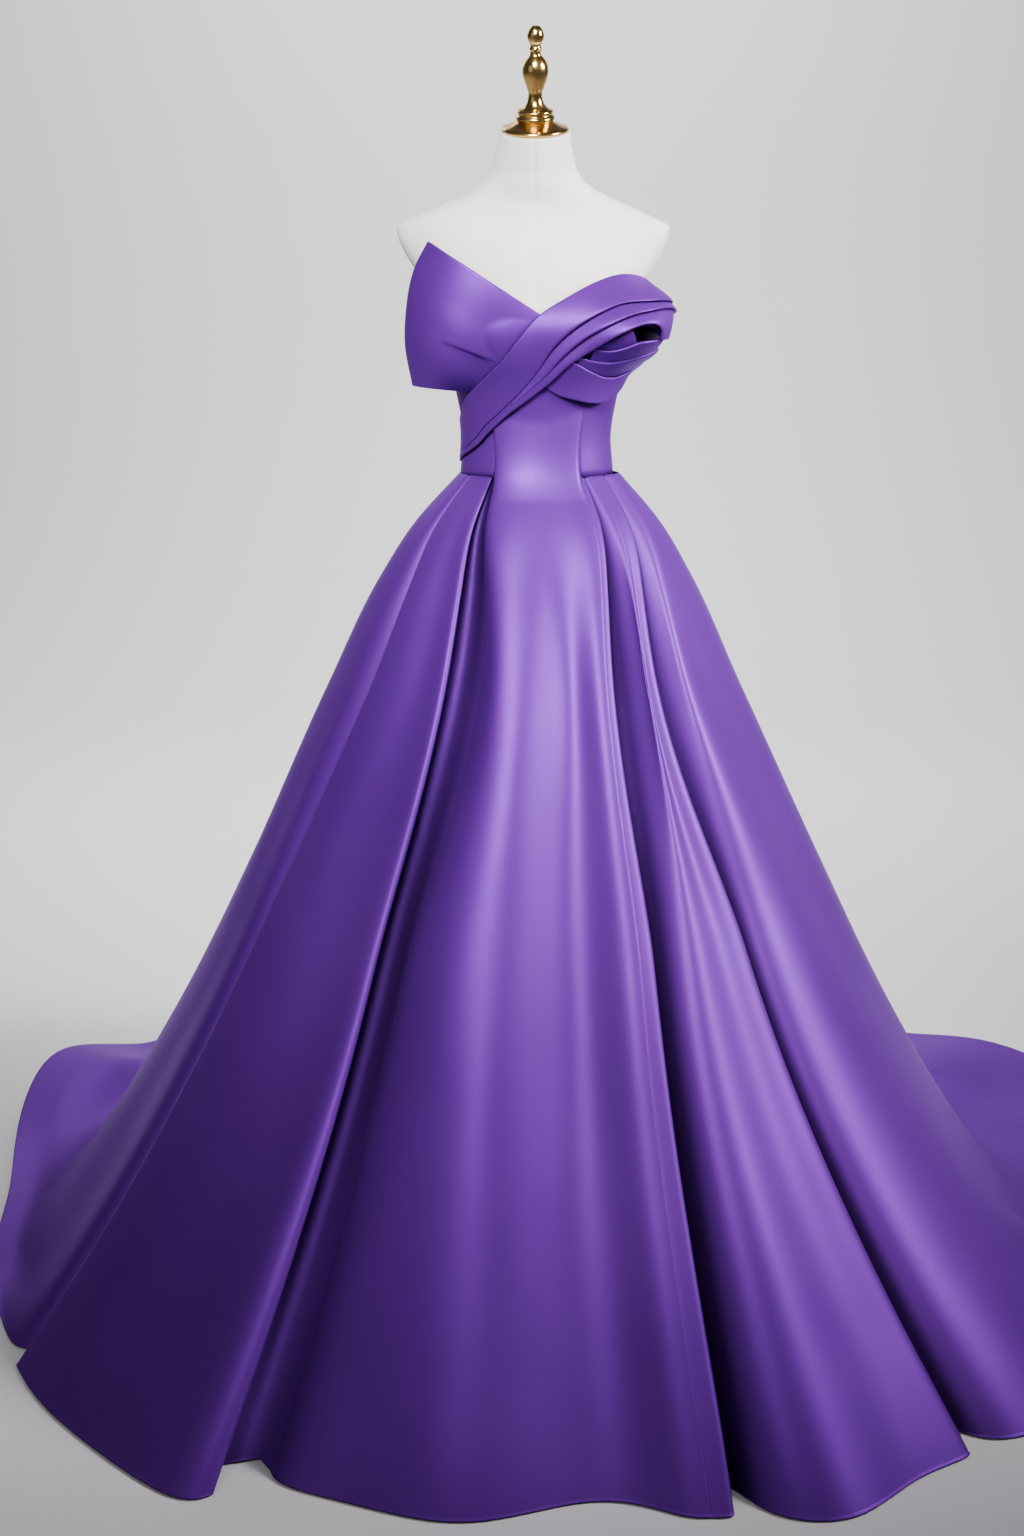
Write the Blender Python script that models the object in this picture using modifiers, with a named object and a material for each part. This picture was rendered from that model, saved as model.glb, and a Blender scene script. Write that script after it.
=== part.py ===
"""Strapless satin ball gown with a draped bust and a floor train, worn by a limbless dress form.

Metres, +Z up. The gown's front faces -Y, so the viewer's left is -X. The origin is the centre of
the stand's underside, on the floor. Angles go round the form from the front centre (0 degrees)
towards +X (90 degrees) and on to the back centre (180 degrees).
"""
import math
from collections import namedtuple

import bmesh
import bpy
import numpy as np

COLLECTION = "ball_gown_on_dress_form"
MM = 0.001

# ---------------------------------------------------------------- driving sizes
WAIST_Z = 1.147           # waist seam above the floor
CLOTH = 0.0016            # wall of the satin panels
SEAM_GAP = 0.0003
WAIST_SEAM_DROP = 0.0020  # the pleats' upper edge below the waist line, under the bodice's edge
WAIST_DEPTH = 9.0 * MM    # a pleat's three layers, pressed at the waist seam
SIDE_SEAM_DEG = 92.0
BACK_SEAM_DEG = 178.2     # each back panel of the bodice ends here, beside the zip
ZIP_DEG = 1.5             # half width of the zip
ZIP_WALL = 0.0012
HEM_SOFTNESS = 0.022      # radius with which the train turns onto the floor
FLOOR_CLEARANCE = 0.0022  # the hem's fold line above the floor, inside its wall
FLARE_TOP_Z = 0.62        # below this height the front flares out to the hem's own reach
FLARE_POWER = 1.6
TRAIN_BLEND_DEG = 12.0    # over which the front's flare gives way to the train
FULL_TRAIN = 0.12         # cloth on the floor from which the train's shapes are whole
PLEATS_FADE = 0.10        # along the train, over which the pleats flatten out
WAVES_GROW = 0.16         # along the train, over which its soft waves rise
PRESSED = 0.06            # height over which a pleat's layers come to lie on each other

# Half widths of the skirt's envelope. Below the floor level it runs on as the train.
Level = namedtuple("Level", "z side front back")
SKIRT = (
    Level(-0.300, 0.990, 1.010, 0.995),
    Level(0.000, 0.775, 0.795, 0.785),
    Level(0.150, 0.663, 0.680, 0.680),
    Level(0.350, 0.540, 0.543, 0.556),
    Level(0.600, 0.413, 0.402, 0.424),
    Level(0.850, 0.297, 0.274, 0.290),
    Level(1.000, 0.223, 0.192, 0.202),
    Level(1.080, 0.170, 0.143, 0.148),
    Level(1.147, 0.1075, 0.0860, 0.0850),
)
BODICE = (
    Level(1.147, 0.1065, 0.0850, 0.0840),
    Level(1.200, 0.1025, 0.0820, 0.0810),
    Level(1.262, 0.1125, 0.0890, 0.0860),
    Level(1.310, 0.1240, 0.1000, 0.0900),
    Level(1.350, 0.1320, 0.1060, 0.0940),
    Level(1.400, 0.1390, 0.1010, 0.0980),
    Level(1.450, 0.1500, 0.0900, 0.1000),
)
# Rounded cups of the bodice, and the swollen bud under the draped folds
Mound = namedtuple("Mound", "deg z reach deg_spread z_spread power")
CUPS = (
    Mound(-44.0, 1.336, 0.022, 27.0, 0.050, 2),
    Mound(44.0, 1.336, 0.022, 27.0, 0.050, 2),
)
BUD = Mound(72.0, 1.350, 0.046, 36.0, 0.052, 4)

# Where the hem lies, measured from the form's axis
Reach = namedtuple("Reach", "deg radius")
HEM_REACH = (
    Reach(-180, 0.960), Reach(-150, 0.960), Reach(-130, 0.985), Reach(-122, 1.005),
    Reach(-108, 0.926), Reach(-95, 0.834), Reach(-80, 0.825), Reach(-59, 0.825),
    Reach(-45, 0.840), Reach(-31, 0.860), Reach(-27, 0.805), Reach(0, 0.790),
    Reach(16, 0.795), Reach(24, 0.850), Reach(40, 0.835), Reach(46, 0.865),
    Reach(60, 0.900), Reach(75, 0.960), Reach(90, 1.040), Reach(108, 1.120),
    Reach(124, 1.095), Reach(134, 1.015), Reach(150, 0.965), Reach(180, 0.960),
)
TRAIN_FROM_DEG = 74.0     # forward of this angle the hem ends at the floor, with no train

# Upper edge of the bodice, alike on both sides
NeckPoint = namedtuple("NeckPoint", "deg z")
NECKLINE = (
    NeckPoint(0, 1.342), NeckPoint(18, 1.354), NeckPoint(45, 1.385), NeckPoint(70, 1.380),
    NeckPoint(92, 1.360), NeckPoint(125, 1.332), NeckPoint(155, 1.314), NeckPoint(180, 1.310),
)
SeamPoint = namedtuple("SeamPoint", "z deg")
PRINCESS_SEAM = (
    SeamPoint(1.147, 40.0), SeamPoint(1.210, 40.5), SeamPoint(1.262, 44.0),
    SeamPoint(1.340, 47.0), SeamPoint(1.400, 48.0),
)


# ---------------------------------------------------------------- small maths
def smooth(x, xs, ys):
    """Cubic curve through the table points, read at x; straight beyond both ends."""
    xs, ys = np.asarray(xs, float), np.asarray(ys, float)
    order = np.argsort(xs)
    xs, ys = xs[order], ys[order]
    steps = np.diff(ys) / np.diff(xs)
    slopes = np.empty_like(ys)
    slopes[0], slopes[-1] = steps[0], steps[-1]
    left, right = np.diff(xs)[:-1], np.diff(xs)[1:]
    slopes[1:-1] = (steps[:-1] * right + steps[1:] * left) / (left + right)
    x = np.asarray(x, float)
    inside = np.clip(x, xs[0], xs[-1])
    i = np.clip(np.searchsorted(xs, inside, side="right") - 1, 0, len(xs) - 2)
    h = xs[i + 1] - xs[i]
    t = (inside - xs[i]) / h
    value = (
        ys[i] * (1 + 2 * t) * (1 - t) ** 2 + slopes[i] * h * t * (1 - t) ** 2
        + ys[i + 1] * t * t * (3 - 2 * t) + slopes[i + 1] * h * t * t * (t - 1)
    )
    end_slope = np.where(x < xs[0], slopes[0], slopes[-1])
    return value + (x - inside) * end_slope


def column(rows, name):
    """One named column of a table."""
    return [getattr(row, name) for row in rows]


def ease(x):
    """Smooth step from 0 to 1."""
    x = np.clip(x, 0.0, 1.0)
    return x * x * (3 - 2 * x)


def bspline(points, u, closed):
    """Uniform cubic B-spline over the rows of points, read at the parameters u."""
    points, u = np.asarray(points, float), np.asarray(u, float)
    i = np.floor(u).astype(int)
    t = (u - i)[:, None]
    weights = (
        (1 - t) ** 3 / 6, (3 * t ** 3 - 6 * t ** 2 + 4) / 6,
        (-3 * t ** 3 + 3 * t ** 2 + 3 * t + 1) / 6, t ** 3 / 6,
    )
    total = 0
    for shift, weight in zip((-1, 0, 1, 2), weights):
        k = i + shift
        k = k % len(points) if closed else np.clip(k, 0, len(points) - 1)
        total = total + weight * points[k]
    return total


def at(radius, deg, z):
    """Points at a radius and angle round the form's axis."""
    angle = np.radians(deg)
    return np.stack(np.broadcast_arrays(radius * np.sin(angle), -radius * np.cos(angle), z), -1)


def ellipse_radius(levels, z, deg):
    """Radius at an angle of a section whose front and back halves are unlike half ellipses."""
    zs = column(levels, "z")
    side = smooth(z, zs, column(levels, "side"))
    front = smooth(z, zs, column(levels, "front"))
    back = smooth(z, zs, column(levels, "back"))
    angle = np.radians(deg)
    depth = np.where(np.cos(angle) > 0, front, back)
    return 1 / np.sqrt((np.sin(angle) / side) ** 2 + (np.cos(angle) / depth) ** 2)


def mound_height(mound, deg, z):
    distance = np.sqrt(((deg - mound.deg) / mound.deg_spread) ** 2
                       + ((z - mound.z) / mound.z_spread) ** 2)
    return mound.reach * np.exp(-distance ** mound.power)


def bodice_radius(z, deg):
    """Inner face of the bodice panels."""
    radius = ellipse_radius(BODICE, z, deg)
    for cup in CUPS:
        radius = radius + mound_height(cup, deg, z)
    return radius


def drape_radius(z, deg):
    """Face that the draped folds follow: the bodice and, on the +X side, the bud."""
    return bodice_radius(z, deg) + mound_height(BUD, deg, z)


def neckline_z(deg):
    return smooth(np.abs(deg), column(NECKLINE, "deg"), column(NECKLINE, "z"))


def princess_deg(z):
    return smooth(z, column(PRINCESS_SEAM, "z"), column(PRINCESS_SEAM, "deg"))


# ---------------------------------------------------------------- skirt tables
# How a pleat's sizes grow down the skirt: parts of its gap, depth and rise at the hem, with the
# tuck behind the lip and the lead before it in mm
Station = namedtuple("Station", "name z gap depth tuck rise lead")
STATIONS = (
    Station("hem", 0.0, 1.00, 1.00, 20, 1.00, 28),
    Station("knee", 0.55, 0.90, 0.76, 15, 0.80, 20),
    Station("hip", 1.00, 0.80, 0.54, 10, 0.62, 8),
    Station("waist", WAIST_Z, 0.17, 0.00, 6, 0.14, 5),
)
# Cross-section of a pleat: how far along each control rail lies, as parts of the lead, tuck, gap
# and rise, and how deep, as a part of the depth. laid is its height in mm where the pleat lies
# flat on the floor.
Cross = namedtuple("Cross", "rail lead tuck gap rise depth laid")
PLEAT = (
    Cross("lead", -1, 0, 0.0, 0.00, 0.00, 7),
    Cross("lip", 0, 0, 0.0, 0.00, 0.00, 12),
    Cross("under", 0, 0, 0.0, 0.00, 0.16, 8),
    Cross("tuck", 0, -1, 0.0, 0.00, 0.36, 5),
    Cross("root", 0, -1, 0.0, 0.00, 1.00, 0),
    Cross("floor", 0, 0, 0.5, 0.00, 1.00, 0),
    Cross("rise", 0, 0, 1.0, 0.00, 0.48, 0),
    Cross("top", 0, 0, 1.0, 0.46, 0.06, 2),
)
PLAIN_RAILS = ("under", "tuck", "root", "floor")   # these need no point between them

# Fold: an overlapping pleat whose lip faces +angle (1) or -angle (-1). The four angles place the
# lip; gap is the open shadow beside it, depth the tuck behind it, rise the slope of the next
# panel, and under how much further the tuck runs back, in mm at the hem.
Fold = namedtuple("Fold", "name faces waist hip knee hem gap depth rise under")
# Soft: a ridge (below 0) or valley of the cloth. in_* are its depths in mm, and lift its height
# in mm where the cloth lies on the floor.
Soft = namedtuple("Soft", "name waist hip knee hem in_waist in_hip in_knee in_hem lift")
ROUND = (
    Soft("back centre", -180.0, -180.0, -180.0, -180.0, 0, 0, 0, 4, 4),
    Soft("back ridge left", -172.0, -172.0, -171.0, -170.0, 0, -4, -6, -4, 30),
    Fold("back pleat left 2", -1, -163.0, -160.0, -158.0, -157.0, 18, 46, 50, 0),
    Soft("back panel left 2", -148.0, -149.0, -148.0, -147.0, 0, 0, 2, 6, 6),
    Fold("back pleat left 1", -1, -139.0, -137.0, -135.0, -134.0, 20, 50, 55, 0),
    Soft("train left rear", -127.0, -128.0, -127.0, -127.0, 0, 0, 2, 4, 32),
    Soft("train left crest", -119.0, -121.0, -120.0, -120.0, 0, -2, -4, 0, 72),
    Soft("train left foot", -111.0, -113.0, -112.0, -112.0, 0, 0, 6, 12, 40),
    Soft("train left valley", -103.0, -104.0, -103.0, -103.0, 0, 2, 8, 14, 4),
    Soft("side seam left", -92.0, -92.0, -93.0, -93.0, 0, 0, -2, -4, 26),
    Soft("left side ridge", -82.0, -82.0, -82.0, -82.0, 0, -2, -4, -4, 0),
    Soft("left side valley", -75.0, -72.0, -73.0, -72.0, 0, 2, 8, 12, 0),
    Fold("left pleat outer", -1, -63.5, -56.5, -60.5, -58.2, 26, 46, 45, 0),
    Soft("left pleat ridge", -53.0, -48.0, -50.0, -50.0, 0, -2, -2, -4, 0),
    Soft("left pleat valley", -49.0, -40.0, -39.5, -39.0, 0, 5, 16, 24, 0),
    Fold("left pleat inner", 1, -41.5, -32.2, -29.7, -28.6, 34, 90, 60, 30),
    Soft("centre left", -29.0, -17.0, -16.0, -17.0, 0, -3, -12, -18, 0),
    Soft("centre ridge", -19.0, -9.5, -8.5, -9.5, 0, -6, -14, -18, 0),
    Soft("centre slope", -6.0, -1.0, -2.5, -4.0, 0, 3, 8, 10, 0),
    Soft("centre valley", 6.0, 8.5, 4.8, 3.4, 0, 15, 42, 56, 0),
    Soft("centre climb", 20.0, 15.8, 10.2, 8.6, 0, 12, 32, 42, 0),
    Soft("centre edge", 31.0, 22.0, 15.0, 12.5, 0, -1, 0, 0, 0),
    Fold("centre lip", 1, 41.5, 28.5, 20.3, 16.6, 28, 84, 44, 0),
    Soft("right pleat ridge", 50.0, 38.5, 29.0, 25.5, 0, -3, -6, -8, 0),
    Soft("right pleat flat", 56.0, 40.2, 34.0, 33.0, 0, 2, 10, 18, 0),
    Fold("right pleat lip", 1, 63.0, 44.3, 39.8, 39.9, 28, 88, 34, 0),
    Soft("right side ridge", 72.0, 54.0, 53.0, 49.0, -6, -4, -8, -6, 0),
    Soft("right side valley", 80.0, 68.0, 66.0, 62.0, -8, 3, 14, 24, 0),
    Soft("right side swell", 86.0, 80.0, 80.0, 78.0, -8, 0, -2, -2, 16),
    Soft("side seam right", 92.0, 92.0, 92.0, 92.0, -6, 0, 0, 4, 0),
    Soft("train right swell", 103.0, 104.0, 104.0, 104.0, 0, -2, -2, 0, 30),
    Soft("train right valley", 113.0, 114.0, 115.0, 116.0, 0, 2, 8, 12, 2),
    Soft("train right crest", 122.0, 124.0, 125.0, 126.0, 0, 0, 0, 0, 34),
    Fold("back pleat right 1", 1, 139.0, 137.0, 136.0, 136.0, 20, 50, 55, 0),
    Soft("back panel right 2", 153.0, 151.0, 150.0, 150.0, 0, 0, 2, 6, 6),
    Fold("back pleat right 2", 1, 163.0, 160.0, 158.0, 157.0, 18, 46, 50, 0),
    Soft("back ridge right", 173.0, 172.0, 172.0, 172.0, 0, -4, -6, -4, 30),
)


def hem_reach(deg):
    return smooth(deg, column(HEM_REACH, "deg"), column(HEM_REACH, "radius"))


def envelope_radius(z, deg):
    """The skirt's envelope, flared at the front to the hem's own reach."""
    flare = hem_reach(deg) - ellipse_radius(SKIRT, 0.0, deg)
    share = ease((TRAIN_FROM_DEG - np.abs(deg)) / TRAIN_BLEND_DEG)
    below = np.clip(1 - z / FLARE_TOP_Z, 0, 1)
    return ellipse_radius(SKIRT, z, deg) + share * flare * below ** FLARE_POWER


def train_drop(deg):
    """How far below the floor level the envelope runs on before it is laid flat."""
    slope = (SKIRT[0].side - SKIRT[1].side) / (SKIRT[1].z - SKIRT[0].z)
    length = np.maximum(hem_reach(deg) - ellipse_radius(SKIRT, 0.0, deg), 0)
    return ease((np.abs(deg) - TRAIN_FROM_DEG) / TRAIN_BLEND_DEG + 1) * length / slope


Rail = namedtuple("Rail", "name degs depths lift laid")


def fold_rails(fold):
    """Control rails of a pleat, in order round the skirt."""
    rails = []
    for cross in PLEAT:
        degs, depths = [], []
        for station in STATIONS:
            deg = getattr(fold, station.name)
            tuck = station.tuck + fold.under * station.depth
            along = (cross.lead * station.lead + cross.tuck * tuck
                     + cross.gap * fold.gap * station.gap + cross.rise * fold.rise * station.rise)
            radius = float(ellipse_radius(SKIRT, station.z, deg))
            degs.append(deg + fold.faces * math.degrees(along * MM / radius))
            depths.append(cross.depth * max(fold.depth * station.depth * MM, WAIST_DEPTH))
        rails.append(Rail(cross.rail, degs, depths, 0.0, cross.laid * MM))
    return rails if fold.faces > 0 else rails[::-1]


def soft_rail(soft):
    degs = [getattr(soft, station.name) for station in STATIONS]
    depths = [getattr(soft, "in_" + station.name) * MM for station in STATIONS]
    return Rail("soft", degs, depths, soft.lift * MM, 0.0)


def build_rails():
    """All control rails round the skirt, and the index at which each named row starts."""
    rails, starts = [], {}
    for row in ROUND:
        starts[row.name] = len(rails)
        rails.extend(fold_rails(row) if isinstance(row, Fold) else [soft_rail(row)])
    return rails, starts


RAILS, ROW_START = build_rails()
SEAMS = dict(
    side_left=ROW_START["side seam left"],
    princess_left=ROW_START["left pleat inner"] + column(PLEAT, "rail").index("rise"),
    princess_right=ROW_START["centre lip"],
    side_right=ROW_START["side seam right"],
    back=ROW_START["back centre"],
)


def skirt_controls(v):
    """Control points round the skirt at the drop v (0 waist, 1 hem)."""
    zs = column(STATIONS, "z")
    controls = []
    for rail in RAILS:
        drop = float(train_drop(rail.degs[0]))
        level = WAIST_Z - v * (WAIST_Z + drop)
        above = max(level, 0.0)
        deg = float(smooth(above, zs, rail.degs))
        depth = float(smooth(above, zs, rail.depths)) * max(0.0, 1 + min(level, 0.0) / PLEATS_FADE)
        trained = min(1.0, drop / FULL_TRAIN)
        softness = HEM_SOFTNESS * max(trained, 0.001)
        z = level if level > 8 * softness else softness * math.log1p(math.exp(level / softness))
        z += rail.lift * float(ease(-level / WAVES_GROW))
        z += rail.laid * trained * float(ease(0.5 - level / PRESSED))
        controls.append(at(float(envelope_radius(level, deg)) - depth, deg, z))
    return controls


def skirt_row(controls, u):
    """Points of the skirt for the parameters u round it."""
    row = bspline(controls, u, True)
    row[:, 2] = np.maximum(row[:, 2], FLOOR_CLEARANCE)
    return row


def round_parameters(start, end, steps=2):
    """Parameters from one seam to another: steps a rail, and one a rail inside a tuck."""
    last = end if end > start else end + len(RAILS)
    values = []
    for index in range(start, last):
        count = 1 if RAILS[index % len(RAILS)].name in PLAIN_RAILS else steps
        values.extend(index + step / count for step in range(count))
    return np.array(values + [last])


# ---------------------------------------------------------------- drape tables
# The pleated band that crosses the front: its upper edge and the lips of its three folds (angle,
# height in mm), from the side behind the bud, over it, and down to the far side of the waist.
# The third fold ends in front of the bud, where it turns down. first, lip and last are the
# heights off the bust in mm of the upper edge, of the lips and of the third fold's lip; drop1
# and drop2 are the steps down below the first and second lip.
CrossRow = namedtuple("CrossRow", "deg0 z0 deg1 z1 deg2 z2 deg3 z3 first lip last drop1 drop2")
CROSSING = (
    CrossRow(119, 1350, 119, 1341, 119, 1337, 59, 1332, 2.6, 4.4, 12.0, 0.0, 0.0),
    CrossRow(104, 1377, 104, 1363, 104, 1354, 58, 1341, 3.5, 7.0, 12.5, 1.0, 1.0),
    CrossRow(88, 1401, 86, 1378, 84, 1368, 56, 1349, 5.0, 10.5, 13.5, 2.5, 2.0),
    CrossRow(75, 1414, 72, 1383, 68, 1374, 52, 1354, 5.0, 12.5, 14.5, 4.6, 4.0),
    CrossRow(58, 1418, 58, 1383, 54, 1371, 46, 1352, 5.0, 14.5, 14.5, 6.5, 6.0),
    CrossRow(39, 1407, 42, 1378, 42, 1362, 39, 1340, 5.0, 14.5, 14.5, 7.0, 7.0),
    CrossRow(16, 1384, 24, 1353, 28, 1338, 31, 1320, 5.0, 14.5, 14.5, 7.0, 6.5),
    CrossRow(-1, 1362, 10, 1324, 15, 1309, 19, 1298, 8.0, 14.0, 14.0, 5.5, 4.0),
    CrossRow(-14, 1330, -1, 1291, 4, 1283, 9, 1278, 9.0, 12.0, 12.0, 2.4, 1.2),
    CrossRow(-25, 1303, -14, 1264, -11, 1260, -6, 1257, 9.0, 10.0, 10.0, 0.9, 0.2),
    CrossRow(-41, 1279, -30, 1239, -28, 1236, -25, 1234, 9.0, 9.5, 9.5, 0.6, 0.0),
    CrossRow(-61, 1254, -47, 1216, -44, 1213, -42, 1211, 8.0, 8.5, 8.5, 0.5, 0.0),
    CrossRow(-74, 1234, -64, 1191, -62, 1188, -60, 1186, 5.0, 7.0, 7.0, 0.4, 0.0),
    CrossRow(-91, 1216, -91, 1172, -91, 1168, -91, 1164, 2.8, 3.2, 3.2, 0.0, 0.0),
)
# Cross-section of the band: each rail's edge, how far on towards the next edge it lies, and its
# height between the root (0) and the lip (1)
BandRail = namedtuple("BandRail", "edge along height")
BAND = (
    BandRail(0, 0.00, 0.00), BandRail(0, 0.30, 0.55), BandRail(0, 0.65, 0.95),
    BandRail(0, 0.92, 1.10), BandRail(1, 0.00, 1.15), BandRail(1, 0.22, -0.10),
    BandRail(1, 0.60, 0.65), BandRail(2, 0.00, 1.25), BandRail(2, 0.22, -0.10),
    BandRail(2, 0.55, 0.60), BandRail(2, 0.82, 0.96), BandRail(3, 0.00, 1.00),
)
# Pieces of the bud, each between two edges with their own heights off the bust in mm
EdgePair = namedtuple("EdgePair", "deg_a z_a lift_a deg_b z_b lift_b")
BUD_HEART = (
    EdgePair(32, 1319, 2.1, 32, 1309, 2.1), EdgePair(36, 1324, 2.1, 40, 1307, 2.1),
    EdgePair(40, 1332, 2.1, 45, 1308, 2.1), EdgePair(43, 1338, 2.1, 49, 1311, 2.1),
    EdgePair(45, 1342, 2.1, 50, 1317, 2.1), EdgePair(46, 1343, 2.1, 51, 1322, 2.1),
)
BUD_RING_INNER = (
    EdgePair(33, 1319, 6.0, 34, 1298, 5.2), EdgePair(41, 1316, 7.0, 45, 1294, 5.2),
    EdgePair(46, 1320, 7.2, 52, 1295, 4.8), EdgePair(50, 1327, 7.5, 57, 1299, 4.4),
    EdgePair(55, 1329, 8.0, 61, 1310, 4.8), EdgePair(60, 1331, 8.2, 65, 1325, 5.8),
    EdgePair(61, 1337, 7.0, 66, 1337, 4.8), EdgePair(58, 1347, 5.4, 61, 1353, 3.6),
    EdgePair(53, 1353, 4.4, 55, 1363, 2.9), EdgePair(49, 1352, 4.0, 49, 1364, 2.8),
    EdgePair(44, 1348, 4.6, 43, 1360, 3.4),
)
BUD_RING_OUTER = (
    EdgePair(26, 1308, 7.6, 24, 1290, 6.0), EdgePair(35, 1303, 8.6, 35, 1278, 6.4),
    EdgePair(45, 1300, 9.0, 49, 1275, 6.4), EdgePair(53, 1303, 9.6, 61, 1280, 7.0),
    EdgePair(59, 1308, 9.2, 72, 1288, 6.6), EdgePair(64, 1312, 7.6, 82, 1302, 5.6),
    EdgePair(67, 1319, 3.0, 90, 1316, 1.2), EdgePair(52, 1330, -16, 88, 1331, -5.0),
    EdgePair(43, 1352, -16, 86, 1360, -6.0), EdgePair(50, 1376, -4, 80, 1381, -3.0),
)
BUD_CUP = (
    EdgePair(9, 1297, 3.0, 3, 1276, 2.6), EdgePair(16, 1300, 6.0, 11, 1265, 4.0),
    EdgePair(24, 1300, 10.4, 20, 1258, 7.0), EdgePair(34, 1290, 11.6, 31, 1253, 11.0),
    EdgePair(46, 1281, 12.5, 42, 1249, 14.0), EdgePair(58, 1280, 12.0, 54, 1250, 14.0),
    EdgePair(70, 1287, 11.0, 66, 1260, 12.0), EdgePair(80, 1297, 9.6, 77, 1270, 9.0),
    EdgePair(92, 1306, 7.0, 90, 1282, 6.0), EdgePair(104, 1310, 4.4, 104, 1292, 3.4),
    EdgePair(115, 1310, 2.6, 115, 1297, 2.6),
)

# The stiff wing over the other bust: its inner end, on the bodice, its folded outer edge, how far
# its face swells, and where its back layer is sewn to the side (heights in mm)
WingRow = namedtuple("WingRow", "deg_in z_in x y z swell deg_back z_back")
WING = (
    WingRow(-56, 1262, -172, -50, 1271, 22, -97, 1262),
    WingRow(-34, 1277, -181, -56, 1325, 34, -96, 1292),
    WingRow(-19, 1296, -178, -60, 1378, 36, -88, 1322),
    WingRow(-9, 1326, -168, -64, 1422, 30, -76, 1350),
    WingRow(3, 1361, -149, -70, 1459, 24, -64, 1372),
)
WING_CLEARANCE = 4.2 * MM   # the wing off the bodice
# Tuck in the wing's face that runs out from the folds: the rows at its two ends, how far across
# it fades away, and its depth
Crease = namedtuple("Crease", "row_in row_out fade depth")
WING_CREASE = Crease(2.0, 1.6, 0.62, 8 * MM)


def edge_points(rows, deg_name, z_name):
    return np.array([(getattr(row, deg_name), getattr(row, z_name) * MM) for row in rows])


def resample(points, count):
    """Smooth curve through the points, read at count even steps of their order."""
    order = np.arange(len(points))
    steps = np.linspace(0, len(points) - 1, count)
    return np.stack([smooth(steps, order, points[:, k]) for k in range(points.shape[1])], -1)


def band_rows(count):
    """Rows across the pleated band, from its upper edge to its last lip."""
    edges = [resample(edge_points(CROSSING, "deg%d" % k, "z%d" % k), count) for k in range(4)]
    first, lip, last, drop1, drop2 = [resample(heights(CROSSING, name), count)[:, 0]
                                      for name in ("first", "lip", "last", "drop1", "drop2")]
    base = (first, lip - drop1, lip - drop2, last)
    lips = (lip, lip, last, last)
    controls = []
    for rail in BAND:
        edge = edges[rail.edge]
        if rail.along:
            edge = edge + rail.along * (edges[rail.edge + 1] - edge)
        lift = base[rail.edge] + rail.height * (lips[rail.edge] - base[rail.edge])
        deg, z = edge.T
        controls.append(at(drape_radius(z, deg) + lift, deg, z))
    controls = [controls[0]] + controls + [controls[-1]]
    u = np.linspace(1, len(controls) - 2, len(BAND))
    return np.stack([bspline(across, u, False) for across in np.stack(controls, 1)], 1)


def drape_sheet(edge_a, lift_a, edge_b, lift_b, count, across):
    """Rows of points from one edge to the other, at their heights off the bust."""
    edge_a, edge_b = resample(edge_a, count), resample(edge_b, count)
    lift_a, lift_b = resample(lift_a, count)[:, 0], resample(lift_b, count)[:, 0]
    rows = []
    for s in np.linspace(0, 1, across + 1):
        deg, z = ((1 - s) * edge_a + s * edge_b).T
        lift = (1 - s) * lift_a + s * lift_b
        rows.append(at(drape_radius(z, deg) + lift, deg, z))
    return np.array(rows)


def heights(rows, name):
    return np.array(column(rows, name), float)[:, None] * MM


def wing_recess(t, s):
    """How far the wing's face is tucked in at row t and share s of the way to its fold."""
    line = WING_CREASE.row_in + (WING_CREASE.row_out - WING_CREASE.row_in) * s / WING_CREASE.fade
    fade = np.clip(1 - s / WING_CREASE.fade, 0, 1) ** 0.7
    return WING_CREASE.depth * fade * ease((line - t) / 0.25) * ease(t / 1.5)


def clear_of_bodice(points):
    """The points, moved outwards where they would come too close to the bodice."""
    deg = np.degrees(np.arctan2(points[:, 0], -points[:, 1]))
    radius = np.hypot(points[:, 0], points[:, 1])
    least = bodice_radius(points[:, 2], deg) + WING_CLEARANCE
    return at(np.maximum(radius, least), deg, points[:, 2])


def wing_rows(count, across):
    """Rows up the wing: front layer, folded outer edge and back layer in each."""
    rows = []
    for t in np.linspace(0, len(WING) - 1, count):
        row = WingRow(*[float(smooth(t, range(len(WING)), column(WING, name)))
                        for name in WingRow._fields])
        inner_z, back_z = row.z_in * MM, row.z_back * MM
        inner = at(bodice_radius(inner_z, row.deg_in) + WING_CLEARANCE, row.deg_in, inner_z)
        fold = np.array((row.x, row.y, row.z)) * MM
        back = at(bodice_radius(back_z, row.deg_back) + WING_CLEARANCE, row.deg_back, back_z)
        swell = np.array((0, -row.swell * MM, 0))
        turn = np.array((0, 10 * MM, 0))
        controls = [
            inner, inner, inner * 0.80 + fold * 0.20 + swell * 0.34,
            inner * 0.5 + fold * 0.5 + swell, inner * 0.2 + fold * 0.8 + swell * 0.9,
            fold, fold + turn * 0.6, fold * 0.7 + back * 0.3 + turn, back, back,
        ]
        u = np.linspace(0.5, len(controls) - 1.5, across + 1)
        points = bspline(controls, u, False)
        points[:, 1] += wing_recess(t, np.clip((u - 1.0) / 4.0, 0, 1))
        rows.append(clear_of_bodice(points))
    return rows


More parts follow.
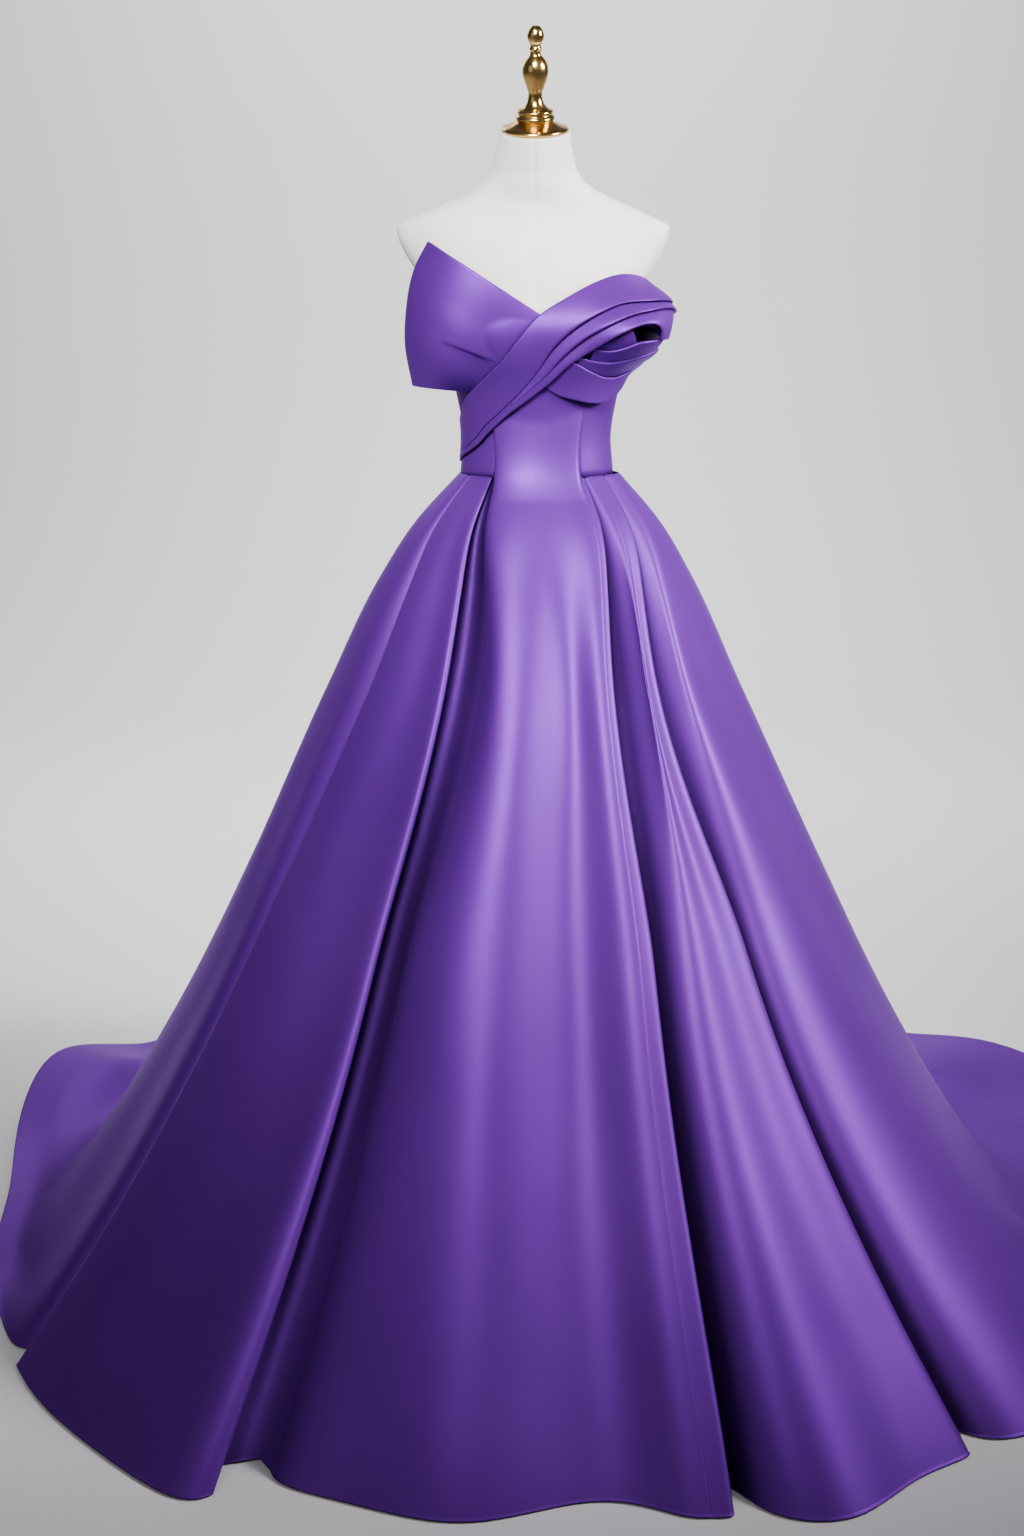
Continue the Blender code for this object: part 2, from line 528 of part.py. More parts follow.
# ---------------------------------------------------------------- form tables
# Rings of the padded torso and neck. droop lowers the ring at its sides, tilt lowers its front.
Ring = namedtuple("Ring", "z side front back droop tilt x y")
TORSO = (
    Ring(0.862, 0.140, 0.100, 0.108, 0, 0, 0, 0),
    Ring(0.866, 0.148, 0.106, 0.115, 0, 0, 0, 0),
    Ring(0.910, 0.156, 0.108, 0.122, 0, 0, 0, 0),
    Ring(0.980, 0.146, 0.100, 0.118, 0, 0, 0, 0),
    Ring(1.060, 0.114, 0.084, 0.094, 0, 0, 0, 0),
    Ring(1.120, 0.0955, 0.0730, 0.0735, 0, 0, 0, 0),
    Ring(1.147, 0.0925, 0.0710, 0.0700, 0, 0, 0, 0),
    Ring(1.200, 0.0945, 0.0745, 0.0735, 0, 0, 0, 0),
    Ring(1.262, 0.1118, 0.0883, 0.0853, 0, 0, 0, 0),
    Ring(1.310, 0.1165, 0.0940, 0.0840, 0, 0, 0, 0),
    Ring(1.350, 0.1245, 0.1000, 0.0880, 0, 0, 0, 0),
    Ring(1.385, 0.1330, 0.0950, 0.0930, 0, 0, -0.001, 0),
    Ring(1.415, 0.1580, 0.0880, 0.0960, 0, 0, -0.003, 0),
    Ring(1.445, 0.1765, 0.0780, 0.0960, 0, 0, -0.005, 0.002),
    Ring(1.470, 0.1860, 0.0660, 0.0900, 0, 0, -0.006, 0.004),
    Ring(1.488, 0.1840, 0.0590, 0.0830, 0.004, 0, -0.006, 0.006),
    Ring(1.500, 0.1640, 0.0560, 0.0750, 0.006, 0, -0.006, 0.007),
    Ring(1.512, 0.1300, 0.0540, 0.0660, 0.003, 0, -0.005, 0.006),
    Ring(1.520, 0.0980, 0.0535, 0.0590, -0.002, 0, -0.005, 0.004),
    Ring(1.532, 0.0760, 0.0530, 0.0540, -0.003, 0.002, -0.005, 0.001),
    Ring(1.550, 0.0620, 0.0510, 0.0500, 0, 0.005, -0.005, -0.003),
    Ring(1.578, 0.0525, 0.0490, 0.0480, 0, 0.010, -0.005, -0.009),
    Ring(1.604, 0.0475, 0.0475, 0.0465, 0, 0.0136, -0.004, -0.014),
)
RING_POINTS = 28
NECK_TILT = math.asin(TORSO[-1].tilt / TORSO[-1].front)
CAP_CENTRE = (TORSO[-1].x, TORSO[-1].y, TORSO[-1].z)

# Turned shapes, top to bottom, in mm: radius and height
Turn = namedtuple("Turn", "radius height")
FINIAL = (
    Turn(0, 136), Turn(4.0, 135), Turn(8.0, 132), Turn(11.0, 126), Turn(11.6, 121),
    Turn(10.0, 115.5), Turn(7.2, 112), Turn(6.8, 109), Turn(8.6, 107), Turn(8.6, 105),
    Turn(6.8, 103), Turn(7.4, 98), Turn(11.0, 95), Turn(15.5, 89), Turn(18.0, 80),
    Turn(17.2, 72), Turn(13.6, 62), Turn(10.8, 54), Turn(9.0, 50), Turn(9.2, 45),
    Turn(11.5, 37), Turn(16.5, 31), Turn(20.0, 29.5), Turn(24.0, 29.0), Turn(24.6, 25.5),
    Turn(22.6, 22.6), Turn(26.2, 21.0), Turn(26.8, 17.5), Turn(25.0, 14.3), Turn(0, 14.3),
)
NECK_CAP = (
    Turn(0, 14.0), Turn(24.0, 14.0), Turn(30.0, 10.6), Turn(43.0, 7.0), Turn(45.4, 5.8),
    Turn(46.2, 3.8), Turn(45.4, 1.8), Turn(43.0, 1.0), Turn(0, 1.0),
)
STAND_POLE = (Turn(0, 861.6), Turn(30, 861.6), Turn(30, 852), Turn(16, 846), Turn(16, 26),
              Turn(34, 22), Turn(36, 16.3), Turn(0, 16.3))
STAND_BASE = (Turn(0, 16.0), Turn(60, 15.2), Turn(140, 11.0), Turn(178, 7.5), Turn(190, 5.0),
              Turn(190, 1.0), Turn(189, 0), Turn(0, 0))


# ---------------------------------------------------------------- mesh tools
def clear_scene():
    for item in list(bpy.context.scene.objects):
        bpy.data.objects.remove(item, do_unlink=True)


def material(name, colour, roughness, metallic=0.0):
    result = bpy.data.materials.new(name)
    result.use_nodes = True
    shader = result.node_tree.nodes["Principled BSDF"]
    shader.inputs["Base Color"].default_value = (*colour, 1.0)
    shader.inputs["Roughness"].default_value = roughness
    shader.inputs["Metallic"].default_value = metallic
    return result


def add_object(name, mesh, look, collection):
    mesh.materials.append(look)
    result = bpy.data.objects.new(name, mesh)
    collection.objects.link(result)
    return result


def grid_mesh(name, rows):
    """Open sheet over a grid of points, its faces looking outwards."""
    mesh = bmesh.new()
    grid = [[mesh.verts.new(point) for point in row] for row in rows]
    for upper, lower in zip(grid, grid[1:]):
        for j in range(len(upper) - 1):
            mesh.faces.new((upper[j], lower[j], lower[j + 1], upper[j + 1]))
    result = bpy.data.meshes.new(name)
    mesh.to_mesh(result)
    mesh.free()
    result.shade_smooth()
    return result


def cloth(name, rows, look, collection, wall=CLOTH):
    """Cloth panel: a sheet thickened outwards. Rows run downwards, their points towards +angle."""
    result = add_object(name, grid_mesh(name, rows), look, collection)
    shell = result.modifiers.new("wall", "SOLIDIFY")
    shell.thickness = wall
    shell.offset = 1.0
    return result


def trim(rows):
    """Draw the sheet's side edges in by half a seam gap."""
    rows = [np.array(row, float) for row in rows]
    for row in rows:
        for edge, inside in ((0, 1), (-1, -2)):
            step = row[inside] - row[edge]
            row[edge] += step / np.linalg.norm(step) * SEAM_GAP / 2
    return rows


def closed_loft(name, rings, look, collection):
    """Closed body through rings of equal counts, capped at both ends."""
    mesh = bmesh.new()
    made = [[mesh.verts.new(point) for point in ring] for ring in rings]
    count = len(rings[0])
    for low, high in zip(made, made[1:]):
        for j in range(count):
            k = (j + 1) % count
            mesh.faces.new((low[j], low[k], high[k], high[j]))
    mesh.faces.new(made[0][::-1])
    mesh.faces.new(made[-1])
    bmesh.ops.recalc_face_normals(mesh, faces=mesh.faces)
    result = bpy.data.meshes.new(name)
    mesh.to_mesh(result)
    mesh.free()
    result.shade_smooth()
    return add_object(name, result, look, collection)


def turned(name, profile, segments, look, collection):
    """Turned body: the profile runs from top to bottom and is spun about the Z axis."""
    mesh = bpy.data.meshes.new(name)
    points = [(turn.radius * MM, 0.0, turn.height * MM) for turn in profile]
    mesh.from_pydata(points, [(i, i + 1) for i in range(len(points) - 1)], [])
    result = add_object(name, mesh, look, collection)
    screw = result.modifiers.new("turn", "SCREW")
    screw.steps = screw.render_steps = segments
    screw.use_merge_vertices = True
    screw.merge_threshold = 0.0001
    screw.use_smooth_shade = True
    return result


# ---------------------------------------------------------------- gown
DROPS = (0.0, 0.022, 0.055, 0.11, 0.19, 0.30, 0.42, 0.55, 0.68, 0.79, 0.87, 0.93, 0.97, 1.0)
BODICE_ROWS = 7


def skirt_rows(start, end):
    u = round_parameters(SEAMS[start], SEAMS[end])
    return [skirt_row(skirt_controls(v), u) for v in DROPS]


def panel_deg(waist_degs, z, centre):
    """Angles of a panel's columns at height z: they follow the princess seams."""
    seam, first = princess_deg(z), PRINCESS_SEAM[0].deg
    if centre:
        return waist_degs * seam / first
    size = np.abs(waist_degs)
    share = (size - first) / (SIDE_SEAM_DEG - first)
    leaned = seam + share * (SIDE_SEAM_DEG - seam)
    return np.sign(waist_degs) * np.where(size < SIDE_SEAM_DEG, leaned, size)


def bodice_rows(waist_degs, centre=False):
    """Rows from the neckline down to the waist for columns at the given waist angles."""
    rows = []
    for step in range(BODICE_ROWS, -1, -1):
        deg = waist_degs
        for _ in range(3):
            z = WAIST_Z + step / BODICE_ROWS * (neckline_z(deg) - WAIST_Z)
            deg = panel_deg(waist_degs, z, centre)
        rows.append(at(bodice_radius(z, deg), deg, z))
    return rows


def centre_front(look, collection):
    """One panel from the neckline to the hem, with no waist seam."""
    below = skirt_rows("princess_left", "princess_right")
    waist = below[0]
    degs = np.degrees(np.arctan2(waist[:, 0], -waist[:, 1]))
    outer = np.where(degs < 0, -degs[0], degs[-1])
    above = bodice_rows(degs * PRINCESS_SEAM[0].deg / outer, True)
    drift = waist - above[-1]
    above = [row + drift * (step / BODICE_ROWS) ** 10 for step, row in enumerate(above)]
    cloth("centre_front", trim(above[:-1] + below), look, collection)


def bodice_panel(name, side, start_deg, end_deg, columns, look, collection):
    degs = side * np.linspace(start_deg, end_deg, columns + 1)[::side]
    rows = trim(bodice_rows(degs))
    rows[-1][:, 2] += SEAM_GAP
    cloth(name, rows, look, collection)


def skirt_panel(name, start, end, look, collection):
    rows = trim(skirt_rows(start, end))
    rows[0][:, 2] -= WAIST_SEAM_DROP
    cloth(name, rows, look, collection)


def back_zip(look, collection):
    """Concealed zip: a plain tape that fills the back opening, its slider hidden."""
    degs = 180.0 + ZIP_DEG * np.array((-1.0, 0.0, 1.0))
    rows = []
    for z in np.linspace(float(neckline_z(180.0)) - 1 * MM, WAIST_Z + 1 * MM, BODICE_ROWS):
        rows.append(at(bodice_radius(z, 180.0), degs, z))
    cloth("back_zip", rows, look, collection, ZIP_WALL)


def wing(look, collection):
    rows = wing_rows(15, 14)[::-1]
    cloth("drape_wing", [row[::-1] for row in rows], look, collection)


def crossing_band(look, collection):
    """The band's three shingled folds are pleated into one piece."""
    cloth("drape_band", band_rows(27)[:, ::-1], look, collection)


def bud_piece(name, table, count, across, look, collection):
    rows = drape_sheet(edge_points(table, "deg_a", "z_a"), heights(table, "lift_a"),
                       edge_points(table, "deg_b", "z_b"), heights(table, "lift_b"),
                       count, across)
    cloth(name, rows, look, collection)


def bud(look, collection):
    """Rolled heart, the two rings that turn round it, and the cup below them."""
    bud_piece("bud_heart", BUD_HEART, 8, 4, look, collection)
    bud_piece("bud_ring_inner", BUD_RING_INNER, 21, 3, look, collection)
    bud_piece("bud_ring_outer", BUD_RING_OUTER, 21, 4, look, collection)
    bud_piece("bud_cup", BUD_CUP, 17, 4, look, collection)


def build_gown(collection):
    satin = material("purple_satin", (0.16, 0.07, 0.42), 0.42)
    centre_front(satin, collection)
    first = PRINCESS_SEAM[0].deg
    for side, word in ((-1, "left"), (1, "right")):
        bodice_panel("bodice_side_" + word, side, first, SIDE_SEAM_DEG, 7, satin, collection)
        bodice_panel("bodice_back_" + word, side, SIDE_SEAM_DEG, BACK_SEAM_DEG, 8, satin,
                     collection)
    skirt_panel("skirt_side_left", "side_left", "princess_left", satin, collection)
    skirt_panel("skirt_side_right", "princess_right", "side_right", satin, collection)
    skirt_panel("skirt_back_right", "side_right", "back", satin, collection)
    skirt_panel("skirt_back_left", "back", "side_left", satin, collection)
    back_zip(material("zip_tape", (0.13, 0.06, 0.36), 0.6), collection)
    wing(satin, collection)
    crossing_band(satin, collection)
    bud(satin, collection)


# ---------------------------------------------------------------- dress form
def torso(look, collection):
    angles = np.arange(RING_POINTS) * 2 * math.pi / RING_POINTS
    rings = []
    for ring in TORSO:
        depth = np.where(np.cos(angles) > 0, ring.front, ring.back)
        x = ring.x + ring.side * np.sin(angles)
        y = ring.y - depth * np.cos(angles)
        z = ring.z - ring.droop * np.sin(angles) ** 2 - ring.tilt * np.cos(angles)
        rings.append(np.stack((x, y, z), -1))
    closed_loft("form_torso", rings, look, collection)


def build_form(collection):
    linen = material("cream_cotton", (0.82, 0.79, 0.74), 0.85)
    gold = material("polished_gold", (0.86, 0.62, 0.18), 0.18, 1.0)
    steel = material("white_stand", (0.80, 0.79, 0.77), 0.4)
    torso(linen, collection)
    tilted = bpy.data.objects.new("neck_axis", None)
    collection.objects.link(tilted)
    tilted.location = CAP_CENTRE
    tilted.rotation_euler = (NECK_TILT, 0, 0)
    for name, profile in (("neck_cap", NECK_CAP), ("finial", FINIAL)):
        turned(name, profile, 16, gold, collection).parent = tilted
    turned("stand_pole", STAND_POLE, 16, steel, collection)
    turned("stand_base", STAND_BASE, 36, steel, collection)


def main():
    clear_scene()
    collection = bpy.data.collections.new(COLLECTION)
    bpy.context.scene.collection.children.link(collection)
    build_gown(collection)
    build_form(collection)


main()
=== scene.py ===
"""Looks of the strapless satin ball gown on its dress form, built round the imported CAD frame.

Metres, +Z up, the gown's front faces -Y. Every piece is made from the same named sizes as its CAD
solid, with finer rows, turned edges, seams and cloth detail.
"""
import math
from collections import namedtuple

import bmesh
import bpy
import numpy as np
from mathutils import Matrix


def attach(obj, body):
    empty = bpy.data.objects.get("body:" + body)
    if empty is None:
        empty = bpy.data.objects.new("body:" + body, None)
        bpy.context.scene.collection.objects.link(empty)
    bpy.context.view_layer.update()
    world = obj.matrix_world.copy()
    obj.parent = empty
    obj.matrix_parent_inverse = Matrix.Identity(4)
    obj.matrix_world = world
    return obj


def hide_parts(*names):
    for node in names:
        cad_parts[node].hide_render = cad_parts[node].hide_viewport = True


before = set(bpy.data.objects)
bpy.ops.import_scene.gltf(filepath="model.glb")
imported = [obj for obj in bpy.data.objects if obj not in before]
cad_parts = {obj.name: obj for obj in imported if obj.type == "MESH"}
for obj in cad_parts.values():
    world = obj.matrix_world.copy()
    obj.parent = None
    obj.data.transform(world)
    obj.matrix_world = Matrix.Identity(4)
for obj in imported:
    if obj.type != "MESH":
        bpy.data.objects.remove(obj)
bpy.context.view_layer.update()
MM = 0.001


# ---- driving sizes
WAIST_Z = 1.147  # waist seam above the floor
CLOTH = 0.0016  # wall of the satin panels
SEAM_GAP = 0.0003
WAIST_DEPTH = 9.0 * MM  # a pleat's three layers, pressed at the waist seam
SIDE_SEAM_DEG = 92.0
BACK_SEAM_DEG = 178.2  # each back panel of the bodice ends here, beside the zip
ZIP_DEG = 1.5  # half width of the zip
HEM_SOFTNESS = 0.022  # radius with which the train turns onto the floor
TURN_ENDS = 8  # softnesses above the floor at which that turn no longer counts
LEAST_TURN = 0.001  # part of the softness that is left where there is no train
FLOOR_CLEARANCE = 0.0022  # the hem's fold line above the floor, inside its wall
FLARE_TOP_Z = 0.62  # below this height the front flares out to the hem's own reach
FLARE_POWER = 1.6
TRAIN_BLEND_DEG = 12.0  # over which the front's flare gives way to the train
FULL_TRAIN = 0.12  # cloth on the floor from which the train's shapes are whole
PLEATS_FADE = 0.10  # along the train, over which the pleats flatten out
WAVES_GROW = 0.16  # along the train, over which its soft waves rise
PRESSED = 0.06  # height over which a pleat's layers come to lie on each other


def table(kind, rows):
    return tuple(kind(*row) for row in rows)


# Half widths of the skirt's envelope. Below the floor level it runs on as the train.
Level = namedtuple("Level", "z side front back")
SKIRT = table(Level, (
    (-0.3, 0.99, 1.01, 0.995), (0, 0.775, 0.795, 0.785), (0.15, 0.663, 0.68, 0.68),
    (0.35, 0.54, 0.543, 0.556), (0.6, 0.413, 0.402, 0.424), (0.85, 0.297, 0.274, 0.29),
    (1, 0.223, 0.192, 0.202), (1.08, 0.17, 0.143, 0.148), (1.147, 0.1075, 0.086, 0.085),
))
BODICE = table(Level, (
    (1.147, 0.1065, 0.085, 0.084), (1.2, 0.1025, 0.082, 0.081), (1.262, 0.1125, 0.089, 0.086),
    (1.31, 0.124, 0.1, 0.09), (1.35, 0.132, 0.106, 0.094), (1.4, 0.139, 0.101, 0.098),
    (1.45, 0.15, 0.09, 0.1),
))
# Rounded cups of the bodice, and the swollen bud under the draped folds
Mound = namedtuple("Mound", "deg z reach deg_spread z_spread power")
CUPS = [Mound(deg, 1.336, 0.022, 27, 0.05, 2) for deg in (-44, 44)]
BUD = Mound(72.0, 1.350, 0.046, 36.0, 0.052, 4)

# Where the hem lies, measured from the form's axis
Reach = namedtuple("Reach", "deg radius")
HEM_REACH = table(Reach, (
    (-180, 0.96), (-150, 0.96), (-130, 0.985), (-122, 1.005), (-108, 0.926), (-95, 0.834),
    (-80, 0.825), (-59, 0.825), (-45, 0.84), (-31, 0.86), (-27, 0.805), (0, 0.79), (16, 0.795),
    (24, 0.85), (40, 0.835), (46, 0.865), (60, 0.9), (75, 0.96), (90, 1.04), (108, 1.12),
    (124, 1.095), (134, 1.015), (150, 0.965), (180, 0.96),
))
TRAIN_FROM_DEG = 74.0  # forward of this angle the hem ends at the floor, with no train

# Upper edge of the bodice, alike on both sides
NeckPoint = namedtuple("NeckPoint", "deg z")
NECKLINE = table(NeckPoint, (
    (0, 1.342), (18, 1.354), (45, 1.385), (70, 1.38), (92, 1.36), (125, 1.332), (155, 1.314),
    (180, 1.31),
))
SeamPoint = namedtuple("SeamPoint", "z deg")
PRINCESS_SEAM = table(
    SeamPoint, ((1.147, 40), (1.21, 40.5), (1.262, 44), (1.34, 47), (1.4, 48)))


# ---- small maths
def smooth(x, xs, ys):
    """Cubic curve through the table points, read at x; straight beyond both ends."""
    xs, ys = np.asarray(xs, float), np.asarray(ys, float)
    order = np.argsort(xs)
    xs, ys = xs[order], ys[order]
    steps = np.diff(ys) / np.diff(xs)
    slopes = np.empty_like(ys)
    slopes[0], slopes[-1] = steps[0], steps[-1]
    left, right = np.diff(xs)[:-1], np.diff(xs)[1:]
    slopes[1:-1] = (steps[:-1] * right + steps[1:] * left) / (left + right)
    x = np.asarray(x, float)
    inside = np.clip(x, xs[0], xs[-1])
    i = np.clip(np.searchsorted(xs, inside, side="right") - 1, 0, len(xs) - 2)
    h = xs[i + 1] - xs[i]
    t = (inside - xs[i]) / h
    value = (
        ys[i] * (1 + 2 * t) * (1 - t) ** 2 + slopes[i] * h * t * (1 - t) ** 2
        + ys[i + 1] * t * t * (3 - 2 * t) + slopes[i + 1] * h * t * t * (t - 1)
    )
    end_slope = np.where(x < xs[0], slopes[0], slopes[-1])
    return value + (x - inside) * end_slope


def column(rows, name):
    """One named column of a table."""
    return [getattr(row, name) for row in rows]


def read(rows, key, name, x):
    """One column of a table, read at x along its key column."""
    return smooth(x, column(rows, key), column(rows, name))


def row_at(rows, keys, x):
    """The row at x, between the table's rows at the keys."""
    kind = type(rows[0])
    return kind(*[float(smooth(x, keys, column(rows, name))) for name in kind._fields])


def ease(x):
    """Smooth step from 0 to 1."""
    x = np.clip(x, 0.0, 1.0)
    return x * x * (3 - 2 * x)


def bspline(points, u, closed):
    """Uniform cubic B-spline over the rows of points, read at the parameters u."""
    points, u = np.asarray(points, float), np.asarray(u, float)
    i = np.floor(u).astype(int)
    t = (u - i)[:, None]
    weights = (
        (1 - t) ** 3 / 6, (3 * t ** 3 - 6 * t ** 2 + 4) / 6,
        (-3 * t ** 3 + 3 * t ** 2 + 3 * t + 1) / 6, t ** 3 / 6,
    )
    total = 0
    for shift, weight in zip((-1, 0, 1, 2), weights):
        k = i + shift
        k = k % len(points) if closed else np.clip(k, 0, len(points) - 1)
        total = total + weight * points[k]
    return total


def at(radius, deg, z):
    """Points at a radius and angle round the form's axis."""
    angle = np.radians(deg)
    return np.stack(np.broadcast_arrays(radius * np.sin(angle), -radius * np.cos(angle), z), -1)


def angle_of(points):
    return np.arctan2(points[:, 0], -points[:, 1])


def ellipse_radius(levels, z, deg):
    """Radius at an angle of a section whose front and back halves are unlike half ellipses."""
    side, front, back = [read(levels, "z", name, z) for name in ("side", "front", "back")]
    angle = np.radians(deg)
    depth = np.where(np.cos(angle) > 0, front, back)
    return 1 / np.sqrt((np.sin(angle) / side) ** 2 + (np.cos(angle) / depth) ** 2)


def mound_height(mound, deg, z):
    distance = np.sqrt(((deg - mound.deg) / mound.deg_spread) ** 2
                       + ((z - mound.z) / mound.z_spread) ** 2)
    return mound.reach * np.exp(-distance ** mound.power)


def bodice_radius(z, deg):
    """Inner face of the bodice panels."""
    radius = ellipse_radius(BODICE, z, deg)
    for cup in CUPS:
        radius = radius + mound_height(cup, deg, z)
    return radius


def drape_radius(z, deg):
    """Face that the draped folds follow: the bodice and, on the +X side, the bud."""
    return bodice_radius(z, deg) + mound_height(BUD, deg, z)


def neckline_z(deg):
    return read(NECKLINE, "deg", "z", np.abs(deg))


def princess_deg(z):
    return read(PRINCESS_SEAM, "z", "deg", z)


# ---- skirt tables
# How a pleat's sizes grow down the skirt: parts of its gap, depth and rise at the hem, with the
# tuck behind the lip and the lead before it in mm
Station = namedtuple("Station", "name z gap depth tuck rise lead")
STATIONS = table(Station, (
    ("hem", 0, 1, 1, 20, 1, 28),
    ("knee", 0.55, 0.9, 0.76, 15, 0.8, 20),
    ("hip", 1, 0.8, 0.54, 10, 0.62, 8),
    ("waist", WAIST_Z, 0.17, 0, 6, 0.14, 5),
))
# Cross-section of a pleat: how far along each control rail lies, as parts of the lead, tuck, gap
# and rise, and how deep, as a part of the depth. laid is its height in mm where the pleat lies
# flat on the floor.
Cross = namedtuple("Cross", "rail lead tuck gap rise depth laid")
PLEAT = table(Cross, (
    ("lead", -1, 0, 0, 0, 0, 7),
    ("lip", 0, 0, 0, 0, 0, 12),
    ("under", 0, 0, 0, 0, 0.16, 8),
    ("tuck", 0, -1, 0, 0, 0.36, 5),
    ("root", 0, -1, 0, 0, 1, 0),
    ("floor", 0, 0, 0.5, 0, 1, 0),
    ("rise", 0, 0, 1, 0, 0.48, 0),
    ("top", 0, 0, 1, 0.46, 0.06, 2),
))
PLAIN_RAILS = ("under", "tuck", "root", "floor")  # these need no point between them

# Fold: an overlapping pleat whose lip faces +angle (1) or -angle (-1). The four angles place the
# lip; gap is the open shadow beside it, depth the tuck behind it, rise the slope of the next
# panel, and under how much further the tuck runs back, in mm at the hem.
Fold = namedtuple("Fold", "name faces waist hip knee hem gap depth rise under", defaults=(0,))
# Soft: a ridge (below 0) or valley of the cloth. in_* are its depths in mm, and lift its height
# in mm where the cloth lies on the floor.
Soft = namedtuple(
    "Soft", "name waist hip knee hem in_waist in_hip in_knee in_hem lift", defaults=(0,))
ROUND = (
    Soft("back centre", -180, -180, -180, -180, 0, 0, 0, 4, 4),
    Soft("back ridge left", -172, -172, -171, -170, 0, -4, -6, -4, 30),
    Fold("back pleat left 2", -1, -163, -160, -158, -157, 18, 46, 50),
    Soft("back panel left 2", -148, -149, -148, -147, 0, 0, 2, 6, 6),
    Fold("back pleat left 1", -1, -139, -137, -135, -134, 20, 50, 55),
    Soft("train left rear", -127, -128, -127, -127, 0, 0, 2, 4, 32),
    Soft("train left crest", -119, -121, -120, -120, 0, -2, -4, 0, 72),
    Soft("train left foot", -111, -113, -112, -112, 0, 0, 6, 12, 40),
    Soft("train left valley", -103, -104, -103, -103, 0, 2, 8, 14, 4),
    Soft("side seam left", -92, -92, -93, -93, 0, 0, -2, -4, 26),
    Soft("left side ridge", -82, -82, -82, -82, 0, -2, -4, -4),
    Soft("left side valley", -75, -72, -73, -72, 0, 2, 8, 12),
    Fold("left pleat outer", -1, -63.5, -56.5, -60.5, -58.2, 26, 46, 45),
    Soft("left pleat ridge", -53, -48, -50, -50, 0, -2, -2, -4),
    Soft("left pleat valley", -49, -40, -39.5, -39, 0, 5, 16, 24),
    Fold("left pleat inner", 1, -41.5, -32.2, -29.7, -28.6, 34, 90, 60, 30),
    Soft("centre left", -29, -17, -16, -17, 0, -3, -12, -18),
    Soft("centre ridge", -19, -9.5, -8.5, -9.5, 0, -6, -14, -18),
    Soft("centre slope", -6, -1, -2.5, -4, 0, 3, 8, 10),
    Soft("centre valley", 6, 8.5, 4.8, 3.4, 0, 15, 42, 56),
    Soft("centre climb", 20, 15.8, 10.2, 8.6, 0, 12, 32, 42),
    Soft("centre edge", 31, 22, 15, 12.5, 0, -1, 0, 0),
    Fold("centre lip", 1, 41.5, 28.5, 20.3, 16.6, 28, 84, 44),
    Soft("right pleat ridge", 50, 38.5, 29, 25.5, 0, -3, -6, -8),
    Soft("right pleat flat", 56, 40.2, 34, 33, 0, 2, 10, 18),
    Fold("right pleat lip", 1, 63, 44.3, 39.8, 39.9, 28, 88, 34),
    Soft("right side ridge", 72, 54, 53, 49, -6, -4, -8, -6),
    Soft("right side valley", 80, 68, 66, 62, -8, 3, 14, 24),
    Soft("right side swell", 86, 80, 80, 78, -8, 0, -2, -2, 16),
    Soft("side seam right", 92, 92, 92, 92, -6, 0, 0, 4),
    Soft("train right swell", 103, 104, 104, 104, 0, -2, -2, 0, 30),
    Soft("train right valley", 113, 114, 115, 116, 0, 2, 8, 12, 2),
    Soft("train right crest", 122, 124, 125, 126, 0, 0, 0, 0, 34),
    Fold("back pleat right 1", 1, 139, 137, 136, 136, 20, 50, 55),
    Soft("back panel right 2", 153, 151, 150, 150, 0, 0, 2, 6, 6),
    Fold("back pleat right 2", 1, 163, 160, 158, 157, 18, 46, 50),
    Soft("back ridge right", 173, 172, 172, 172, 0, -4, -6, -4, 30),
)


def hem_reach(deg):
    return read(HEM_REACH, "deg", "radius", deg)


def envelope_radius(z, deg):
    """The skirt's envelope, flared at the front to the hem's own reach."""
    flare = hem_reach(deg) - ellipse_radius(SKIRT, 0.0, deg)
    share = ease((TRAIN_FROM_DEG - np.abs(deg)) / TRAIN_BLEND_DEG)
    below = np.clip(1 - z / FLARE_TOP_Z, 0, 1)
    return ellipse_radius(SKIRT, z, deg) + share * flare * below ** FLARE_POWER


def train_drop(deg):
    """How far below the floor level the envelope runs on before it is laid flat."""
    slope = (SKIRT[0].side - SKIRT[1].side) / (SKIRT[1].z - SKIRT[0].z)
    length = np.maximum(hem_reach(deg) - ellipse_radius(SKIRT, 0.0, deg), 0)
    return ease((np.abs(deg) - TRAIN_FROM_DEG) / TRAIN_BLEND_DEG + 1) * length / slope


Rail = namedtuple("Rail", "name degs depths lift laid")


def fold_rails(fold):
    """Control rails of a pleat, in order round the skirt."""
    rails = []
    for cross in PLEAT:
        degs, depths = [], []
        for station in STATIONS:
            deg = getattr(fold, station.name)
            tuck = station.tuck + fold.under * station.depth
            along = (cross.lead * station.lead + cross.tuck * tuck
                     + cross.gap * fold.gap * station.gap + cross.rise * fold.rise * station.rise)
            radius = float(ellipse_radius(SKIRT, station.z, deg))
            degs.append(deg + fold.faces * math.degrees(along * MM / radius))
            depths.append(cross.depth * max(fold.depth * station.depth * MM, WAIST_DEPTH))
        rails.append(Rail(cross.rail, degs, depths, 0.0, cross.laid * MM))
    return rails if fold.faces > 0 else rails[::-1]


def soft_rail(soft):
    degs = [getattr(soft, station.name) for station in STATIONS]
    depths = [getattr(soft, "in_" + station.name) * MM for station in STATIONS]
    return Rail("soft", degs, depths, soft.lift * MM, 0.0)


def build_rails():
    """All control rails round the skirt, and the index at which each named row starts."""
    rails, starts = [], {}
    for row in ROUND:
        starts[row.name] = len(rails)
        rails.extend(fold_rails(row) if isinstance(row, Fold) else [soft_rail(row)])
    return rails, starts


